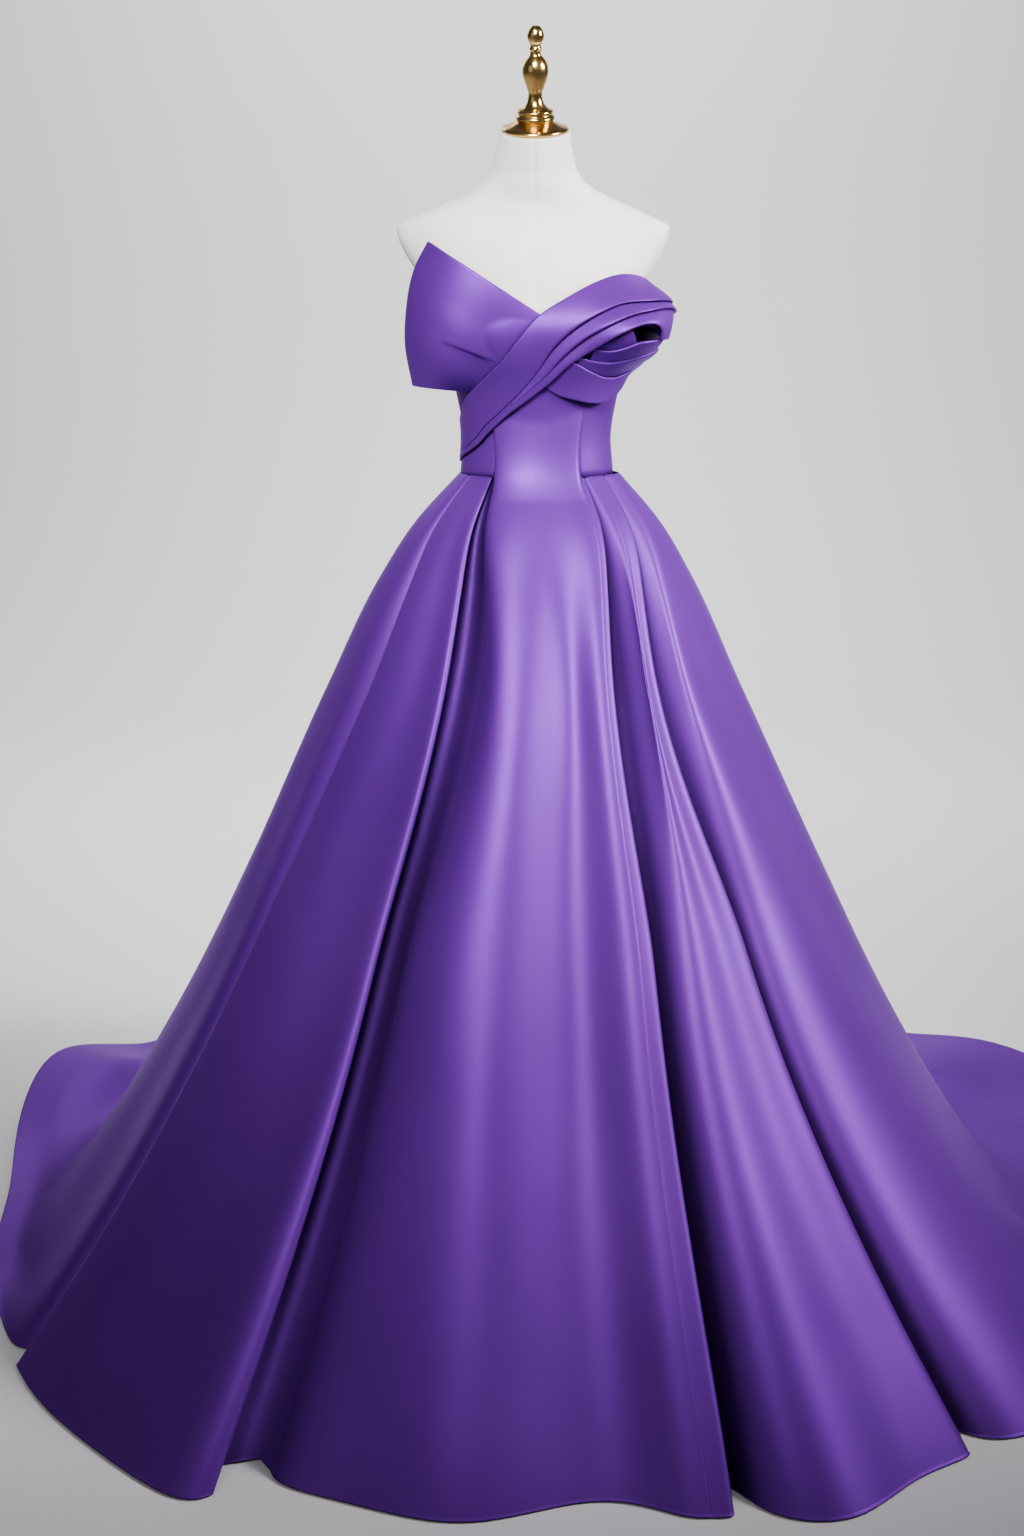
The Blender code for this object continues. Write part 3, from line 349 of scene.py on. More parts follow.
RAILS, ROW_START = build_rails()
SEAMS = dict(
    side_left=ROW_START["side seam left"],
    princess_left=ROW_START["left pleat inner"] + column(PLEAT, "rail").index("rise"),
    princess_right=ROW_START["centre lip"],
    side_right=ROW_START["side seam right"],
    back=ROW_START["back centre"],
)


def skirt_controls(v):
    """Control points round the skirt at the drop v (0 waist, 1 hem)."""
    zs = column(STATIONS, "z")
    controls = []
    for rail in RAILS:
        drop = float(train_drop(rail.degs[0]))
        level = WAIST_Z - v * (WAIST_Z + drop)
        above = max(level, 0.0)
        deg = float(smooth(above, zs, rail.degs))
        depth = float(smooth(above, zs, rail.depths)) * max(0.0, 1 + min(level, 0.0) / PLEATS_FADE)
        trained = min(1.0, drop / FULL_TRAIN)
        softness = HEM_SOFTNESS * max(trained, LEAST_TURN)
        z = level
        if level <= TURN_ENDS * softness:
            z = softness * math.log1p(math.exp(level / softness))
        z += rail.lift * float(ease(-level / WAVES_GROW))
        z += rail.laid * trained * float(ease(0.5 - level / PRESSED))
        controls.append(at(float(envelope_radius(level, deg)) - depth, deg, z))
    return controls


def round_parameters(start, end, steps):
    """Parameters from one seam to another: steps a rail, and one a rail inside a tuck."""
    last = end if end > start else end + len(RAILS)
    values = []
    for index in range(start, last):
        count = 1 if RAILS[index % len(RAILS)].name in PLAIN_RAILS else steps
        values.extend(index + step / count for step in range(count))
    return np.array(values + [last])


# ---- drape tables
# The pleated band that crosses the front: its upper edge and the lips of its three folds (angle,
# height in mm), from the side behind the bud, over it, and down to the far side of the waist.
# The third fold ends in front of the bud, where it turns down. first, lip and last are the
# heights off the bust in mm of the upper edge, of the lips and of the third fold's lip; drop1
# and drop2 are the steps down below the first and second lip.
CrossRow = namedtuple("CrossRow", "deg0 z0 deg1 z1 deg2 z2 deg3 z3 first lip last drop1 drop2")
CROSSING = table(CrossRow, (
    (119, 1350, 119, 1341, 119, 1337, 59, 1332, 2.6, 4.4, 12, 0, 0),
    (104, 1377, 104, 1363, 104, 1354, 58, 1341, 3.5, 7, 12.5, 1, 1),
    (88, 1401, 86, 1378, 84, 1368, 56, 1349, 5, 10.5, 13.5, 2.5, 2),
    (75, 1414, 72, 1383, 68, 1374, 52, 1354, 5, 12.5, 14.5, 4.6, 4),
    (58, 1418, 58, 1383, 54, 1371, 46, 1352, 5, 14.5, 14.5, 6.5, 6),
    (39, 1407, 42, 1378, 42, 1362, 39, 1340, 5, 14.5, 14.5, 7, 7),
    (16, 1384, 24, 1353, 28, 1338, 31, 1320, 5, 14.5, 14.5, 7, 6.5),
    (-1, 1362, 10, 1324, 15, 1309, 19, 1298, 8, 14, 14, 5.5, 4),
    (-14, 1330, -1, 1291, 4, 1283, 9, 1278, 9, 12, 12, 2.4, 1.2),
    (-25, 1303, -14, 1264, -11, 1260, -6, 1257, 9, 10, 10, 0.9, 0.2),
    (-41, 1279, -30, 1239, -28, 1236, -25, 1234, 9, 9.5, 9.5, 0.6, 0),
    (-61, 1254, -47, 1216, -44, 1213, -42, 1211, 8, 8.5, 8.5, 0.5, 0),
    (-74, 1234, -64, 1191, -62, 1188, -60, 1186, 5, 7, 7, 0.4, 0),
    (-91, 1216, -91, 1172, -91, 1168, -91, 1164, 2.8, 3.2, 3.2, 0, 0),
))
CROSS_UNITS = np.array((1, MM) * 4 + (MM,) * 5)
# Pieces of the bud, each between two edges with their own heights off the bust in mm
EdgePair = namedtuple("EdgePair", "deg_a z_a lift_a deg_b z_b lift_b")
EDGE_UNITS = np.array((1, MM, MM) * 2)
BUD_HEART = table(EdgePair, (
    (32, 1319, 2.1, 32, 1309, 2.1), (36, 1324, 2.1, 40, 1307, 2.1), (40, 1332, 2.1, 45, 1308, 2.1),
    (43, 1338, 2.1, 49, 1311, 2.1), (45, 1342, 2.1, 50, 1317, 2.1), (46, 1343, 2.1, 51, 1322, 2.1),
))
BUD_RING_INNER = table(EdgePair, (
    (33, 1319, 6, 34, 1298, 5.2), (41, 1316, 7, 45, 1294, 5.2), (46, 1320, 7.2, 52, 1295, 4.8),
    (50, 1327, 7.5, 57, 1299, 4.4), (55, 1329, 8, 61, 1310, 4.8), (60, 1331, 8.2, 65, 1325, 5.8),
    (61, 1337, 7, 66, 1337, 4.8), (58, 1347, 5.4, 61, 1353, 3.6), (53, 1353, 4.4, 55, 1363, 2.9),
    (49, 1352, 4, 49, 1364, 2.8), (44, 1348, 4.6, 43, 1360, 3.4),
))
BUD_RING_OUTER = table(EdgePair, (
    (26, 1308, 7.6, 24, 1290, 6), (35, 1303, 8.6, 35, 1278, 6.4), (45, 1300, 9, 49, 1275, 6.4),
    (53, 1303, 9.6, 61, 1280, 7), (59, 1308, 9.2, 72, 1288, 6.6), (64, 1312, 7.6, 82, 1302, 5.6),
    (67, 1319, 3, 90, 1316, 1.2), (52, 1330, -16, 88, 1331, -5), (43, 1352, -16, 86, 1360, -6),
    (50, 1376, -4, 80, 1381, -3),
))
BUD_CUP = table(EdgePair, (
    (9, 1297, 3, 3, 1276, 2.6), (16, 1300, 6, 11, 1265, 4), (24, 1300, 10.4, 20, 1258, 7),
    (34, 1290, 11.6, 31, 1253, 11), (46, 1281, 12.5, 42, 1249, 14), (58, 1280, 12, 54, 1250, 14),
    (70, 1287, 11, 66, 1260, 12), (80, 1297, 9.6, 77, 1270, 9), (92, 1306, 7, 90, 1282, 6),
    (104, 1310, 4.4, 104, 1292, 3.4), (115, 1310, 2.6, 115, 1297, 2.6),
))

# The stiff wing over the other bust: its inner end, on the bodice, its folded outer edge, how far
# its face swells, and where its back layer is sewn to the side (heights in mm)
WingRow = namedtuple("WingRow", "deg_in z_in x y z swell deg_back z_back")
WING = table(WingRow, (
    (-56, 1262, -172, -50, 1271, 22, -97, 1262),
    (-34, 1277, -181, -56, 1325, 34, -96, 1292),
    (-19, 1296, -178, -60, 1378, 36, -88, 1322),
    (-9, 1326, -168, -64, 1422, 30, -76, 1350),
    (3, 1361, -149, -70, 1459, 24, -64, 1372),
))
WING_CLEARANCE = 4.2 * MM  # the wing off the bodice
WING_TURN = 10 * MM  # how far its outer edge is folded back
WING_START, WING_FOLD = 1, 5  # its control points at the inner end and at the folded edge
# Control points across the wing, as parts of its inner end, folded edge and sewn back edge, and
# of the swell and the turn
WingShare = namedtuple("WingShare", "inner fold back swell turn")
WING_ACROSS = table(WingShare, (
    (1, 0, 0, 0, 0), (1, 0, 0, 0, 0), (0.8, 0.2, 0, 0.34, 0), (0.5, 0.5, 0, 1, 0),
    (0.2, 0.8, 0, 0.9, 0), (0, 1, 0, 0, 0), (0, 1, 0, 0, 0.6), (0, 0.7, 0.3, 0, 1),
    (0, 0, 1, 0, 0), (0, 0, 1, 0, 0),
))
# Tuck in the wing's face that runs out from the folds: the rows at its two ends, how far across
# it fades away and with what power, its depth, and the rows over which its edge and its foot rise
Crease = namedtuple("Crease", "row_in row_out fade power depth edge foot")
WING_CREASE = Crease(2.0, 1.6, 0.62, 0.7, 8 * MM, 0.08, 1.5)


def resample(points, count):
    """Smooth curve through the points, read at count even steps of their order."""
    order = np.arange(len(points))
    steps = np.linspace(0, len(points) - 1, count)
    return np.stack([smooth(steps, order, points[:, k]) for k in range(points.shape[1])], -1)


def wing_recess(t, s):
    """How far the wing's face is tucked in at row t and share s of the way to its fold."""
    crease = WING_CREASE
    line = crease.row_in + (crease.row_out - crease.row_in) * s / crease.fade
    fade = np.clip(1 - s / crease.fade, 0, 1) ** crease.power
    return crease.depth * fade * ease((line - t) / crease.edge) * ease(t / crease.foot)


def clear_of_bodice(points):
    """The points, moved outwards where they would come too close to the bodice."""
    deg = np.degrees(angle_of(points))
    radius = np.hypot(points[:, 0], points[:, 1])
    least = bodice_radius(points[:, 2], deg) + WING_CLEARANCE
    return at(np.maximum(radius, least), deg, points[:, 2])


def on_bodice(z, deg):
    """An end of the wing's cloth, beside the bodice."""
    return at(bodice_radius(z, deg) + WING_CLEARANCE, deg, z)


def wing_rows(count, across):
    """Rows up the wing: front layer, folded outer edge and back layer in each."""
    rows = []
    for t in np.linspace(0, len(WING) - 1, count):
        row = row_at(WING, range(len(WING)), t)
        parts = (
            on_bodice(row.z_in * MM, row.deg_in), np.array((row.x, row.y, row.z)) * MM,
            on_bodice(row.z_back * MM, row.deg_back), np.array((0, -row.swell * MM, 0)),
            np.array((0, WING_TURN, 0)),
        )
        controls = [sum(share * part for share, part in zip(shares, parts))
                    for shares in WING_ACROSS]
        u = np.linspace(0.5, len(controls) - 1.5, across + 1)
        points = bspline(controls, u, False)
        points[:, 1] += wing_recess(t, np.clip((u - WING_START) / (WING_FOLD - WING_START), 0, 1))
        rows.append(clear_of_bodice(points))
    return rows


# ---- form tables
# Rings of the padded torso and neck. droop lowers the ring at its sides, tilt lowers its front.
Ring = namedtuple("Ring", "z side front back droop tilt x y", defaults=(0,) * 4)
TORSO = table(Ring, (
    (0.862, 0.14, 0.1, 0.108), (0.866, 0.148, 0.106, 0.115), (0.91, 0.156, 0.108, 0.122),
    (0.98, 0.146, 0.1, 0.118), (1.06, 0.114, 0.084, 0.094), (1.12, 0.0955, 0.073, 0.0735),
    (1.147, 0.0925, 0.071, 0.07), (1.2, 0.0945, 0.0745, 0.0735), (1.262, 0.1118, 0.0883, 0.0853),
    (1.31, 0.1165, 0.094, 0.084), (1.35, 0.1245, 0.1, 0.088),
    (1.385, 0.133, 0.095, 0.093, 0, 0, -0.001, 0), (1.415, 0.158, 0.088, 0.096, 0, 0, -0.003, 0),
    (1.445, 0.1765, 0.078, 0.096, 0, 0, -0.005, 0.002),
    (1.47, 0.186, 0.066, 0.09, 0, 0, -0.006, 0.004),
    (1.488, 0.184, 0.059, 0.083, 0.004, 0, -0.006, 0.006),
    (1.5, 0.164, 0.056, 0.075, 0.006, 0, -0.006, 0.007),
    (1.512, 0.13, 0.054, 0.066, 0.003, 0, -0.005, 0.006),
    (1.52, 0.098, 0.0535, 0.059, -0.002, 0, -0.005, 0.004),
    (1.532, 0.076, 0.053, 0.054, -0.003, 0.002, -0.005, 0.001),
    (1.55, 0.062, 0.051, 0.05, 0, 0.005, -0.005, -0.003),
    (1.578, 0.0525, 0.049, 0.048, 0, 0.01, -0.005, -0.009),
    (1.604, 0.0475, 0.0475, 0.0465, 0, 0.0136, -0.004, -0.014),
))
NECK_TILT = math.asin(TORSO[-1].tilt / TORSO[-1].front)
CAP_CENTRE = (TORSO[-1].x, TORSO[-1].y, TORSO[-1].z)

# Turned shapes, top to bottom, in mm: radius and height
Turn = namedtuple("Turn", "radius height")
FINIAL = table(Turn, (
    (0, 136), (4, 135), (8, 132), (11, 126), (11.6, 121), (10, 115.5), (7.2, 112), (6.8, 109),
    (8.6, 107), (8.6, 105), (6.8, 103), (7.4, 98), (11, 95), (15.5, 89), (18, 80), (17.2, 72),
    (13.6, 62), (10.8, 54), (9, 50), (9.2, 45), (11.5, 37), (16.5, 31), (20, 29.5), (24, 29),
    (24.6, 25.5), (22.6, 22.6), (26.2, 21), (26.8, 17.5), (25, 14.3), (0, 14.3),
))
NECK_CAP = table(Turn, (
    (0, 14), (24, 14), (30, 10.6), (43, 7), (45.4, 5.8), (46.2, 3.8), (45.4, 1.8), (43, 1), (0, 1),
))
STAND_POLE = table(Turn, (
    (0, 861.6), (30, 861.6), (30, 852), (16, 846), (16, 26), (34, 22), (36, 16.3), (0, 16.3),
))
STAND_BASE = table(Turn, (
    (0, 16), (60, 15.2), (140, 11), (178, 7.5), (190, 5), (190, 1), (189, 0), (0, 0),
))


def panel_deg(waist_degs, z, centre):
    """Angles of a panel's columns at height z: they follow the princess seams."""
    seam, first = princess_deg(z), PRINCESS_SEAM[0].deg
    if centre:
        return waist_degs * seam / first
    size = np.abs(waist_degs)
    share = (size - first) / (SIDE_SEAM_DEG - first)
    leaned = seam + share * (SIDE_SEAM_DEG - seam)
    return np.sign(waist_degs) * np.where(size < SIDE_SEAM_DEG, leaned, size)


# ---- materials
def new_material(name):
    result = bpy.data.materials.new(name)
    result.use_nodes = True
    tree = result.node_tree
    return result, tree, tree.nodes["Principled BSDF"]


def dial(node, values):
    """The node with its named sockets set, or fed by another node's output."""
    for name, value in values.items():
        if isinstance(value, bpy.types.NodeSocket):
            node.id_data.links.new(value, node.inputs[name])
        else:
            node.inputs[name].default_value = value
    return node


def mapped(tree, stretch):
    """The object's own coordinates, scaled on each axis."""
    place = tree.nodes.new("ShaderNodeTexCoord").outputs["Object"]
    mapping = dial(tree.nodes.new("ShaderNodeMapping"), {"Scale": stretch, "Vector": place})
    return mapping.outputs["Vector"]


def noise(tree, scale, detail=3.0, roughness=0.5, stretch=(1.0, 1.0, 1.0)):
    node = dial(tree.nodes.new("ShaderNodeTexNoise"), {
        "Scale": scale, "Detail": detail, "Roughness": roughness,
        "Vector": mapped(tree, stretch)})
    return node.outputs["Fac"]


def ramp(tree, share, low, low_colour, high, high_colour):
    """Colour that runs from one to the other as the share goes from low to high."""
    node = dial(tree.nodes.new("ShaderNodeValToRGB"), {"Fac": share})
    stops = ((low, low_colour), (high, high_colour))
    for element, (spot, colour) in zip(node.color_ramp.elements, stops):
        element.position = spot
        element.color = (*colour, 1.0)
    return node.outputs["Color"]


def bump(tree, height, strength, distance, below=None):
    node = dial(tree.nodes.new("ShaderNodeBump"),
                {"Strength": strength, "Distance": distance, "Height": height})
    if below is not None:
        dial(node, {"Normal": below})
    return node.outputs["Normal"]


# Painted shade: the cloth's colour is darkened down in a fold, where shade falls. The painted
# shade's colour, how far off the fold's other side counts, the rays that look for it, and the open
# shares at which the painted shade is darkest and gone
PAINTED_FOLD_SHADE = (0.006, 0.001, 0.022)
FOLD_REACH, FOLD_RAYS = 0.06, 8
FOLD_DARK, FOLD_OPEN = 0.30, 0.76


def painted_fold_shade(tree, colour):
    """The colour with painted shade: darkened where the surface is enclosed."""
    enclosed = dial(tree.nodes.new("ShaderNodeAmbientOcclusion"), {"Distance": FOLD_REACH})
    enclosed.samples = FOLD_RAYS
    share = dial(tree.nodes.new("ShaderNodeMapRange"), {
        "From Min": FOLD_DARK, "From Max": FOLD_OPEN, "Value": enclosed.outputs["AO"]})
    shaded = tree.nodes.new("ShaderNodeMix")
    shaded.data_type = "RGBA"
    dial(shaded, {"Factor": share.outputs["Result"], "A": (*PAINTED_FOLD_SHADE, 1.0), "B": colour})
    return shaded.outputs["Result"]


def satin(name, deep, light, rough):
    """Duchess satin: fine slubs along the warp, broad soft creases and a lilac lustre; its colour
    carries painted shade down in the folds.
    """
    result, tree, shader = new_material(name)
    tone = noise(tree, 2.4, stretch=(1.0, 1.0, 0.35))
    slub = noise(tree, 420.0, 2.0, 0.6, (1.0, 1.0, 0.08))
    crease = noise(tree, 7.0, 2.0, 0.45, (1.0, 1.0, 0.45))
    broad = bump(tree, crease, 0.06, 0.006)
    dial(shader, {
        # The base colour carries painted shade, darker where the cloth is enclosed in a fold.
        "Base Color": painted_fold_shade(tree, ramp(tree, tone, 0.35, deep, 0.68, light)),
        "Roughness": ramp(tree, slub, 0.3, (rough - 0.03,) * 3, 0.7, (rough + 0.04,) * 3),
        "Normal": bump(tree, slub, 0.12, 0.0003, broad),
        "Specular IOR Level": 0.30, "IOR": 1.36, "Metallic": 0.50,
        "Specular Tint": (0.72, 0.40, 1.0, 1.0), "Sheen Weight": 0.04, "Sheen Roughness": 0.35,
        "Sheen Tint": (0.55, 0.30, 1.0, 1.0),
    })
    return result


def weave(name, deep, light, rough, scale):
    """Plain woven cotton: crossed fine waves with a little unevenness."""
    result, tree, shader = new_material(name)
    below = None
    for bands, stretch in (("X", (1.0, 1.0, 0.15)), ("Z", (0.15, 0.15, 1.0))):
        thread = dial(tree.nodes.new("ShaderNodeTexWave"), {
            "Scale": scale, "Distortion": 1.5, "Vector": mapped(tree, stretch)})
        thread.bands_direction = bands
        below = bump(tree, thread.outputs["Fac"], 0.12, 0.0003, below)
    dial(shader, {
        "Base Color": ramp(tree, noise(tree, 14.0), 0.3, deep, 0.7, light),
        "Normal": below, "Roughness": rough, "Sheen Weight": 0.2,
    })
    return result


def gold(name):
    """Polished gilt metal with a faint uneven lustre."""
    result, tree, shader = new_material(name)
    smear = noise(tree, 60.0)
    dial(shader, {
        "Base Color": (0.80, 0.52, 0.16, 1.0), "Metallic": 1.0,
        "Roughness": ramp(tree, smear, 0.3, (0.12,) * 3, 0.75, (0.26,) * 3),
        "Normal": bump(tree, smear, 0.05, 0.0006),
    })
    return result


def lacquer(name, colour):
    """Painted stand: satin lacquer with a faint orange-peel surface."""
    result, tree, shader = new_material(name)
    peel = noise(tree, 240.0)
    dial(shader, {"Base Color": (*colour, 1.0), "Roughness": 0.35,
                  "Normal": bump(tree, peel, 0.06, 0.0004)})
    return result


# ---- fine mesh tools
ROLL = 1.0 * MM  # radius with which a free edge is turned under
ROLL_DEG, ROLL_STEPS = 150.0, 5
# A panel's edge dips into its seam: how deep and from how far off, the most of the end column
# that the dip's near and middle points may take, and where the middle point is in the dip
Dip = namedtuple("Dip", "sink reach near middle middle_along middle_sink")
SEAM_DIP = Dip(0.8 * MM, 2.2 * MM, 0.35, 0.16, 0.45, 0.25)
TINY = 1e-6


def linked(name, data):
    """New object in the scene."""
    result = bpy.data.objects.new(name, data)
    bpy.context.scene.collection.objects.link(result)
    return result


def place(obj, node, slot):
    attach(obj, "root")
    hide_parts(node)
    return obj


def grid_object(name, rows, look, closed=False):
    """Sheet over a grid of points; closed joins each row's ends."""
    rows = np.asarray(rows, float)
    across, along = rows.shape[:2]
    mesh = bpy.data.meshes.new(name)
    index = np.arange(across * along).reshape(across, along)
    if closed:
        index = np.concatenate([index, index[:, :1]], 1)
    faces = np.stack([index[:-1, :-1], index[1:, :-1], index[1:, 1:], index[:-1, 1:]], -1)
    mesh.from_pydata(rows.reshape(-1, 3).tolist(), [], faces.reshape(-1, 4).tolist())
    mesh.shade_smooth()
    mesh.materials.append(look)
    return linked(name, mesh)


def shell(name, rows, look, wall):
    """A sheet thickened outwards, as the CAD panel is."""
    result = grid_object(name, rows, look)
    thick = result.modifiers.new("wall", "SOLIDIFY")
    thick.thickness = wall
    thick.offset = 1.0
    return result


def cloth_piece(name, rows, look, wall=CLOTH):
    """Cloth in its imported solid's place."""
    piece = place(shell(name + "_cloth", rows, look, wall), name, "purple_satin")


def unit(v):
    return v / np.maximum(np.linalg.norm(v, axis=-1, keepdims=True), 1e-9)


def normals(rows):
    """Outward normals of a grid whose rows run downwards and points towards +angle."""
    down = np.gradient(rows, axis=0)
    right = np.gradient(rows, axis=1)
    return unit(np.cross(down, right))


def turned_edge(rows):
    """Rows with the first one's free edge rolled under."""
    rows = np.asarray(rows, float)
    out = normals(rows)[0]
    away = unit(rows[0] - rows[1])
    centre = rows[0] - out * ROLL
    roll = [centre + ROLL * (math.cos(a) * out + math.sin(a) * away)
            for a in np.radians(np.linspace(ROLL_DEG, 0, ROLL_STEPS + 1))[:-1]]
    return np.concatenate([np.array(roll), rows])


def hemmed(rows):
    """Rows with the free edges of the first and the last rolled under."""
    return turned_edge(turned_edge(rows)[::-1, ::-1])[::-1, ::-1]


def seamed(rows):
    """Rows whose side edges are drawn in by half a seam gap and dip into the seams."""
    dip, result = SEAM_DIP, []
    for row in rows:
        row, ends = np.array(row, float), []
        for edge, inside in ((0, 1), (-1, -2)):
            step = row[inside] - row[edge]
            row[edge] += step / np.linalg.norm(step) * SEAM_GAP / 2
            step = row[inside] - row[edge]
            length = max(float(np.linalg.norm(step)), TINY)
            inward = -np.array((row[edge][0], row[edge][1], 0.0))
            inward = inward / max(float(np.linalg.norm(inward)), TINY)
            near = row[edge] + step * min(dip.near, dip.reach / length)
            middle = row[edge] + step * min(dip.middle, dip.middle_along * dip.reach / length)
            middle = middle + inward * dip.sink * dip.middle_sink
            ends.append((row[edge] + inward * dip.sink, middle, near))
        (a0, a1, a2), (b0, b1, b2) = ends
        result.append(np.array([a0, a1, a2, *row[1:-1], b2, b1, b0]))
    return np.array(result)


# ---- skirt
SKIRT_ROWS = 150
RAIL_STEPS = 6
ROW_CROWDING = 0.10  # how far the rows are drawn to the waist and to the hem
TOP_DROP = 0.5 * MM  # the side and back panels' upper edge below the waist line
SAMPLES = np.linspace(0, 1, SKIRT_ROWS)
SAMPLES = SAMPLES - ROW_CROWDING * np.sin(2 * math.pi * SAMPLES)
CONTROLS = [skirt_controls(float(v)) for v in SAMPLES]

# Long soft waves of the heavy cloth: waves round the skirt, slant in WAVE_SLANT radians a metre,
# phase and height in mm
Wave = namedtuple("Wave", "round slant phase height")
WAVES = table(Wave, ((23, 2.3, 0.4, 0.30), (37, -3.1, 1.9, 0.15), (11, 1.4, 5.1, 0.60)))
WAVE_SLANT = 6
WAVES_FROM_WAIST = 0.35  # height over which they rise
WAVES_FLOOR, WAVES_FROM_FLOOR = 0.01, 0.12  # where they start, and rise


def rippled(row):
    """The row with the cloth's long soft waves, fading out at the waist and the floor."""
    angle = angle_of(row)
    height = row[:, 2]
    swell = sum(
        wave.height * np.sin(wave.round * angle + wave.slant * height * WAVE_SLANT + wave.phase)
        for wave in WAVES)
    share = ease((WAIST_Z - height) / WAVES_FROM_WAIST)
    share = share * ease((height - WAVES_FLOOR) / WAVES_FROM_FLOOR)
    outward = np.stack([np.sin(angle), -np.cos(angle), 0 * angle], -1)
    return row + outward * (swell * share * MM)[:, None]


def fine_skirt_rows(start, end):
    u = round_parameters(SEAMS[start], SEAMS[end], RAIL_STEPS)
    rows = [bspline(controls, u, True) for controls in CONTROLS]
    for row in rows:
        row[:, 2] = np.maximum(row[:, 2], FLOOR_CLEARANCE)
    return [rippled(row) for row in rows]


def skirt_piece(name, start, end, look):
    rows = seamed(fine_skirt_rows(start, end))
    rows[0][:, 2] -= TOP_DROP
    cloth_piece(name, rows, look)


# ---- bodice
BODICE_STEPS, BODICE_COLUMNS = 26, 22
EDGE_DROP = 0.6 * MM  # the bodice panels' lower edge below the waist line
NECK_PASSES = 3  # the angle of a panel's column and its height hang on each other
DRIFT_POWER = 12  # the bodice drifts onto the skirt's columns close above the waist
# The centre front runs on through the waist with no seam: rows each way that are rounded, how
# often, and the share of the width over which that fades out beside the princess seams
WAIST_REACH, WAIST_PASSES, WAIST_EDGE = 9, 60, 0.12


def fine_bodice_rows(waist_degs, centre=False):
    rows = []
    for step in range(BODICE_STEPS, -1, -1):
        deg = waist_degs
        for _ in range(NECK_PASSES):
            z = WAIST_Z + step / BODICE_STEPS * (neckline_z(deg) - WAIST_Z)
            deg = panel_deg(waist_degs, z, centre)
        rows.append(at(bodice_radius(z, deg), deg, z))
    return rows


def eased(rows, waist):
    """The rows with the bend at the waist rounded, fading to nothing at the side seams."""
    across = np.linspace(0, 1, rows.shape[1])
    share = (0.5 * ease(across / WAIST_EDGE) * ease((1 - across) / WAIST_EDGE))[:, None]
    for _ in range(WAIST_PASSES):
        for k in range(waist - WAIST_REACH, waist + WAIST_REACH + 1):
            rows[k] += share * ((rows[k - 1] + rows[k + 1]) / 2 - rows[k])
    return rows


def centre_piece(look):
    below = fine_skirt_rows("princess_left", "princess_right")
    waist = below[0]
    degs = np.degrees(angle_of(waist))
    outer = np.where(degs < 0, -degs[0], degs[-1])
    above = fine_bodice_rows(degs * PRINCESS_SEAM[0].deg / outer, True)
    drift = waist - above[-1]
    above = [row + drift * (step / BODICE_STEPS) ** DRIFT_POWER
             for step, row in enumerate(above)]
    rows = eased(np.array(seamed(above[:-1] + below)), len(above) - 1)
    cloth_piece("centre_front", rows, look)


def bodice_piece(name, side, start_deg, end_deg, look):
    degs = side * np.linspace(start_deg, end_deg, BODICE_COLUMNS)[::side]
    rows = seamed(fine_bodice_rows(degs))
    rows[-1][:, 2] -= EDGE_DROP
    cloth_piece(name, rows, look)


ZIP_ROWS, ZIP_COLUMNS = 30, 17
ZIP_END = 1 * MM  # the tape's ends inside the neckline and above the waist
ZIP_LIFT = 0.3 * MM  # the tape's inner face off the bodice panels' inner face
ZIP_TAPE = 0.8 * MM
ZIP_LINE, ZIP_LINE_DEG = 0.7 * MM, 0.14  # depth and width of the line where its edges meet


def zip_piece(look):
    """Concealed zip: two edges of tape meeting in a fine line, the slider hidden."""
    degs = 180.0 + ZIP_DEG * np.linspace(-1, 1, ZIP_COLUMNS)
    dip = ZIP_LINE * np.exp(-((degs - 180.0) / ZIP_LINE_DEG) ** 2)
    rows = []
    for z in np.linspace(float(neckline_z(180.0)) - ZIP_END, WAIST_Z + ZIP_END, ZIP_ROWS):
        rows.append(at(bodice_radius(z, 180.0) + ZIP_LIFT - dip, degs, z))
    place(shell("back_zip_tape", rows, look, ZIP_TAPE), "back_zip", "zip_tape")


# ---- drape
DRAPE_WALL, BUD_WALL = 1.2 * MM, 1.0 * MM
WING_ROWS, WING_COLUMNS = 121, 72
BAND_ROWS, BAND_STEPS = 140, 4
BUST_RADIUS = 0.125
# Least height of the band's first step, and the parts of its run over which it rises and falls
Ledge = namedtuple("Ledge", "drop start rise end fall")
LEDGE = Ledge(2.2 * MM, 0.30, 0.2, 0.985, 0.05)
TUCK_FROM, TUCK_SHARE = 3.0 * MM, 1.4  # a step higher than this is undercut by this share of it
# Cross-section of the band with its lips overhanging the fold below: each rail's edge, how far on
# towards the next edge it lies, how far back in the tuck, and its height (0 root, 1 lip)
Pleated = namedtuple("Pleated", "edge along tuck height")
STEP = ((0, 0, 0.92), (0, 0.8, 0.52), (0, 1.2, 0.2), (0, 0.8, -0.06), (0.2, 0, -0.02),
        (0.6, 0, 0.7))  # below the first and second lip
PLEATED = table(Pleated, (
    (0, 0, 0, 0), (0, 0.25, 0, 0.5), (0, 0.6, 0, 0.95),
    (0, 0.9, 0, 1.12), (0, 0.98, 0, 1.1),
    *((1, *row) for row in STEP), (1, 0.88, 0, 1.15), (1, 0.97, 0, 1.12),
    *((2, *row) for row in STEP), (2, 0.9, 0, 1.1), (3, 0, 0, 1),
))


def moved_back(edge, behind, width):
    """The edge moved by widths in the direction of the edge behind it."""
    scale = np.array([math.radians(BUST_RADIUS), 1.0])   # a degree as a length at the bust
    step = (behind - edge) * scale
    length = np.linalg.norm(step, axis=1)[:, None]
    return edge + step / np.maximum(length, TINY) * width[:, None] / scale


